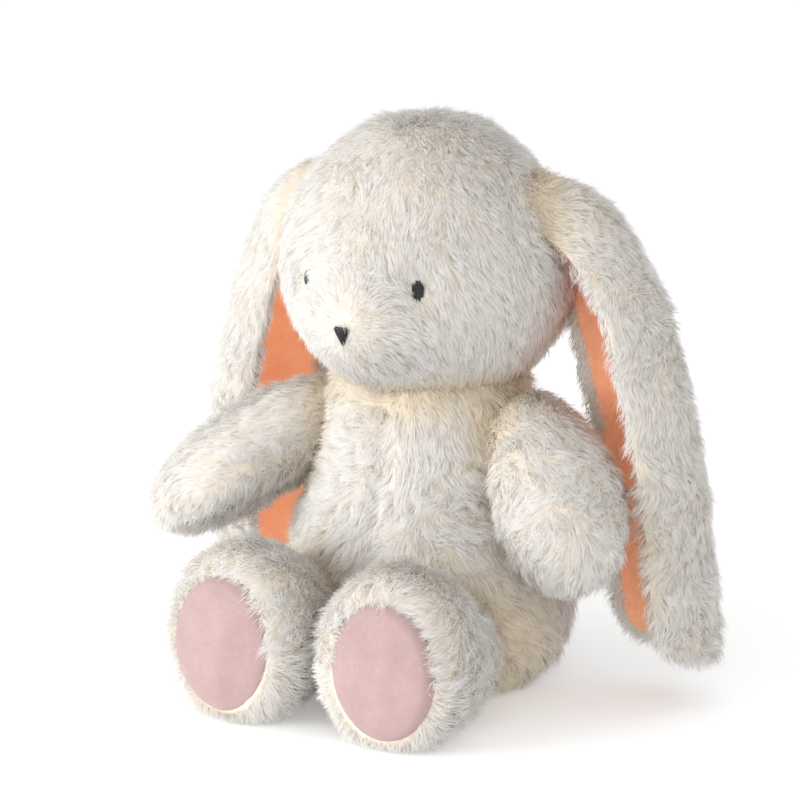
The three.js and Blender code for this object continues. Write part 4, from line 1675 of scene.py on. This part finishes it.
@dataclass(frozen=True)
class Studio:
    """A pale floor, a soft key light, a fill and a bright room, seen by a long lens from a little above."""

    azimuth: float = 30.0
    elevation: float = 13.0
    target: tuple[float, float, float] = (-0.0276, 0.0186, 0.1266)
    distance: float = 1.5
    lens: float = 139.0

    def build(self) -> None:
        """Makes the floor, the lights, the world and the camera."""
        floor = bpy.data.meshes.new("studio_floor")
        reach = 4.0
        corners = [(-reach, -reach, 0), (reach, -reach, 0), (reach, reach, 0), (-reach, reach, 0)]
        floor.from_pydata(corners, [], [(0, 1, 2, 3)])
        ground = bpy.data.objects.new("studio_floor", floor)
        bpy.context.scene.collection.objects.link(ground)
        ground.data.materials.append(self.floor_material())
        self.light("key", (-1.05, -1.5, 0.42), 0.9, 21.5)
        self.light("fill", (1.1, -1.3, 0.9), 1.4, 6.5)
        world = bpy.data.worlds.new("bright_room")
        world.use_nodes = True
        graph = Graph(world.node_tree)
        seen = graph.node("ShaderNodeLightPath").outputs["Is Camera Ray"]
        strength = graph.number("ADD", graph.number("MULTIPLY", seen, 0.23), 0.81)
        room = graph.node("ShaderNodeBackground", {"Color": (1.0, 1.0, 1.0, 1), "Strength": strength})
        graph.node("ShaderNodeOutputWorld", {"Surface": room.outputs[0]})
        bpy.context.scene.world = world
        bpy.context.scene.view_settings.view_transform = "Standard"
        self.camera()

    def floor_material(self) -> bpy.types.Material:
        """A matt, nearly white floor, lit a little from within so that it fades into the room."""
        made = bpy.data.materials.new("studio_floor")
        made.use_nodes = True
        graph = Graph(made.node_tree)
        inputs = {
            "Base Color": (0.97, 0.97, 0.97, 1),
            "Roughness": 0.9,
            "Specular IOR Level": 0.1,
            "Emission Color": (1.0, 1.0, 1.0, 1),
            "Emission Strength": 0.22,
        }
        shader = graph.node("ShaderNodeBsdfPrincipled", inputs).outputs[0]
        graph.node("ShaderNodeOutputMaterial", {"Surface": shader})
        return made

    def light(self, name: str, place: tuple[float, float, float], size: float, power: float) -> None:
        """A square area light that looks at the middle of the object.

        Args:
            name: the lamp's name.
            place: where it stands.
            size: its side.
            power: its watts.
        """
        data = bpy.data.lights.new(name, "AREA")
        data.size = size
        data.energy = power
        lamp = bpy.data.objects.new(name, data)
        lamp.location = place
        aim = Vector(self.target) - Vector(place)
        lamp.rotation_euler = aim.to_track_quat("-Z", "Y").to_euler()
        bpy.context.scene.collection.objects.link(lamp)

    def camera(self) -> None:
        """The camera, round the object by the azimuth and above it by the elevation."""
        a, e = math.radians(self.azimuth), math.radians(self.elevation)
        back = Vector((math.sin(a) * math.cos(e), -math.cos(a) * math.cos(e), math.sin(e)))
        data = bpy.data.cameras.new("camera")
        data.lens = self.lens
        data.sensor_width = 36.0
        eye = bpy.data.objects.new("camera", data)
        eye.location = Vector(self.target) + back * self.distance
        eye.rotation_euler = (-back).to_track_quat("-Z", "Y").to_euler()
        bpy.context.scene.collection.objects.link(eye)
        bpy.context.scene.camera = eye


# ---- The whole object --------------------------------------------------------------------------------------


LEFT_ARM = LimbShape(
    axis=((0.037, 0.002, 0.140), (0.062, -0.010, 0.122), (0.082, -0.024, 0.098), (0.096, -0.036, 0.061)),
    across=(0.85, 0.5, 0.2),
    widths=(0.020, 0.024, 0.028, 0.032, 0.033),
    depths=(0.019, 0.021, 0.022, 0.023, 0.023),
    blunt=2.3,
)
RIGHT_ARM = LimbShape(
    axis=((-0.032, 0.007, 0.134), (-0.060, -0.015, 0.119), (-0.089, -0.038, 0.098), (-0.117, -0.062, 0.074)),
    across=(-0.64, 0.77, 0.0),
    widths=(0.020, 0.024, 0.028, 0.032, 0.033),
    depths=(0.019, 0.021, 0.022, 0.023, 0.023),
    blunt=2.3,
)


def leg_shape(side: int) -> LimbShape:
    """A leg's shape; side is +1 for the bunny's left."""
    line = ((0.036, -0.018, 0.031), (0.038, -0.055, 0.032), (0.040, -0.090, 0.037), (0.042, -0.121, 0.041))
    return LimbShape(
        axis=tuple((side * x, y, z) for x, y, z in line),
        across=(1.0, 0.0, 0.0),
        widths=(0.024, 0.027, 0.032, 0.037, 0.037),
        depths=(0.024, 0.027, 0.034, 0.043, 0.043),
        blunt=6.0,
    )


def finish_hidden(frame: dict, palette: Palette) -> None:
    """Gives the CAD pieces that stay, the neck's thread and the pellet pouch, their materials.

    Args:
        frame: the loaded frame.
        palette: the materials.
    """
    kept = (("neck_gather_thread", palette.white_thread), ("seat_pellet_pouch", palette.pouch))
    for name, finish in kept:
        node = frame["nodes"][name]
        for place in node.material_slots:
            place.material = finish
        log.info("%-28s keeps its CAD shape", name)


def main() -> None:
    """Builds the bunny piece by piece, then the studio."""
    logging.basicConfig(level=logging.INFO, format="%(message)s")
    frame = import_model()
    palette = Palette.mix()
    Torso(palette).build()
    Head(palette).build()
    arms = (("left_arm", LEFT_ARM, True, 31), ("right_arm", RIGHT_ARM, False, 37))
    for name, shape, inner_is_ahead, salt in arms:
        pile = Pile(stand=0.40, tuft_size=0.0056, gather=0.5, tuft_turn=0.30, salt=salt)
        Limb(palette, name, shape, inner_is_ahead, name, bare_start=0.06, pile=pile).build()
    for side, name in ((1, "left_leg"), (-1, "right_leg")):
        pile = Pile(length=0.0095, stand=0.39, salt=41 + side)
        Leg(palette, name, leg_shape(side), True, name, pile=pile, side=side).build()
    for side, name in ((1, "left_ear"), (-1, "right_ear")):
        Ear(palette, side, name).build()
    finish_hidden(frame, palette)
    Studio().build()


if __name__ == "__main__":
    main()
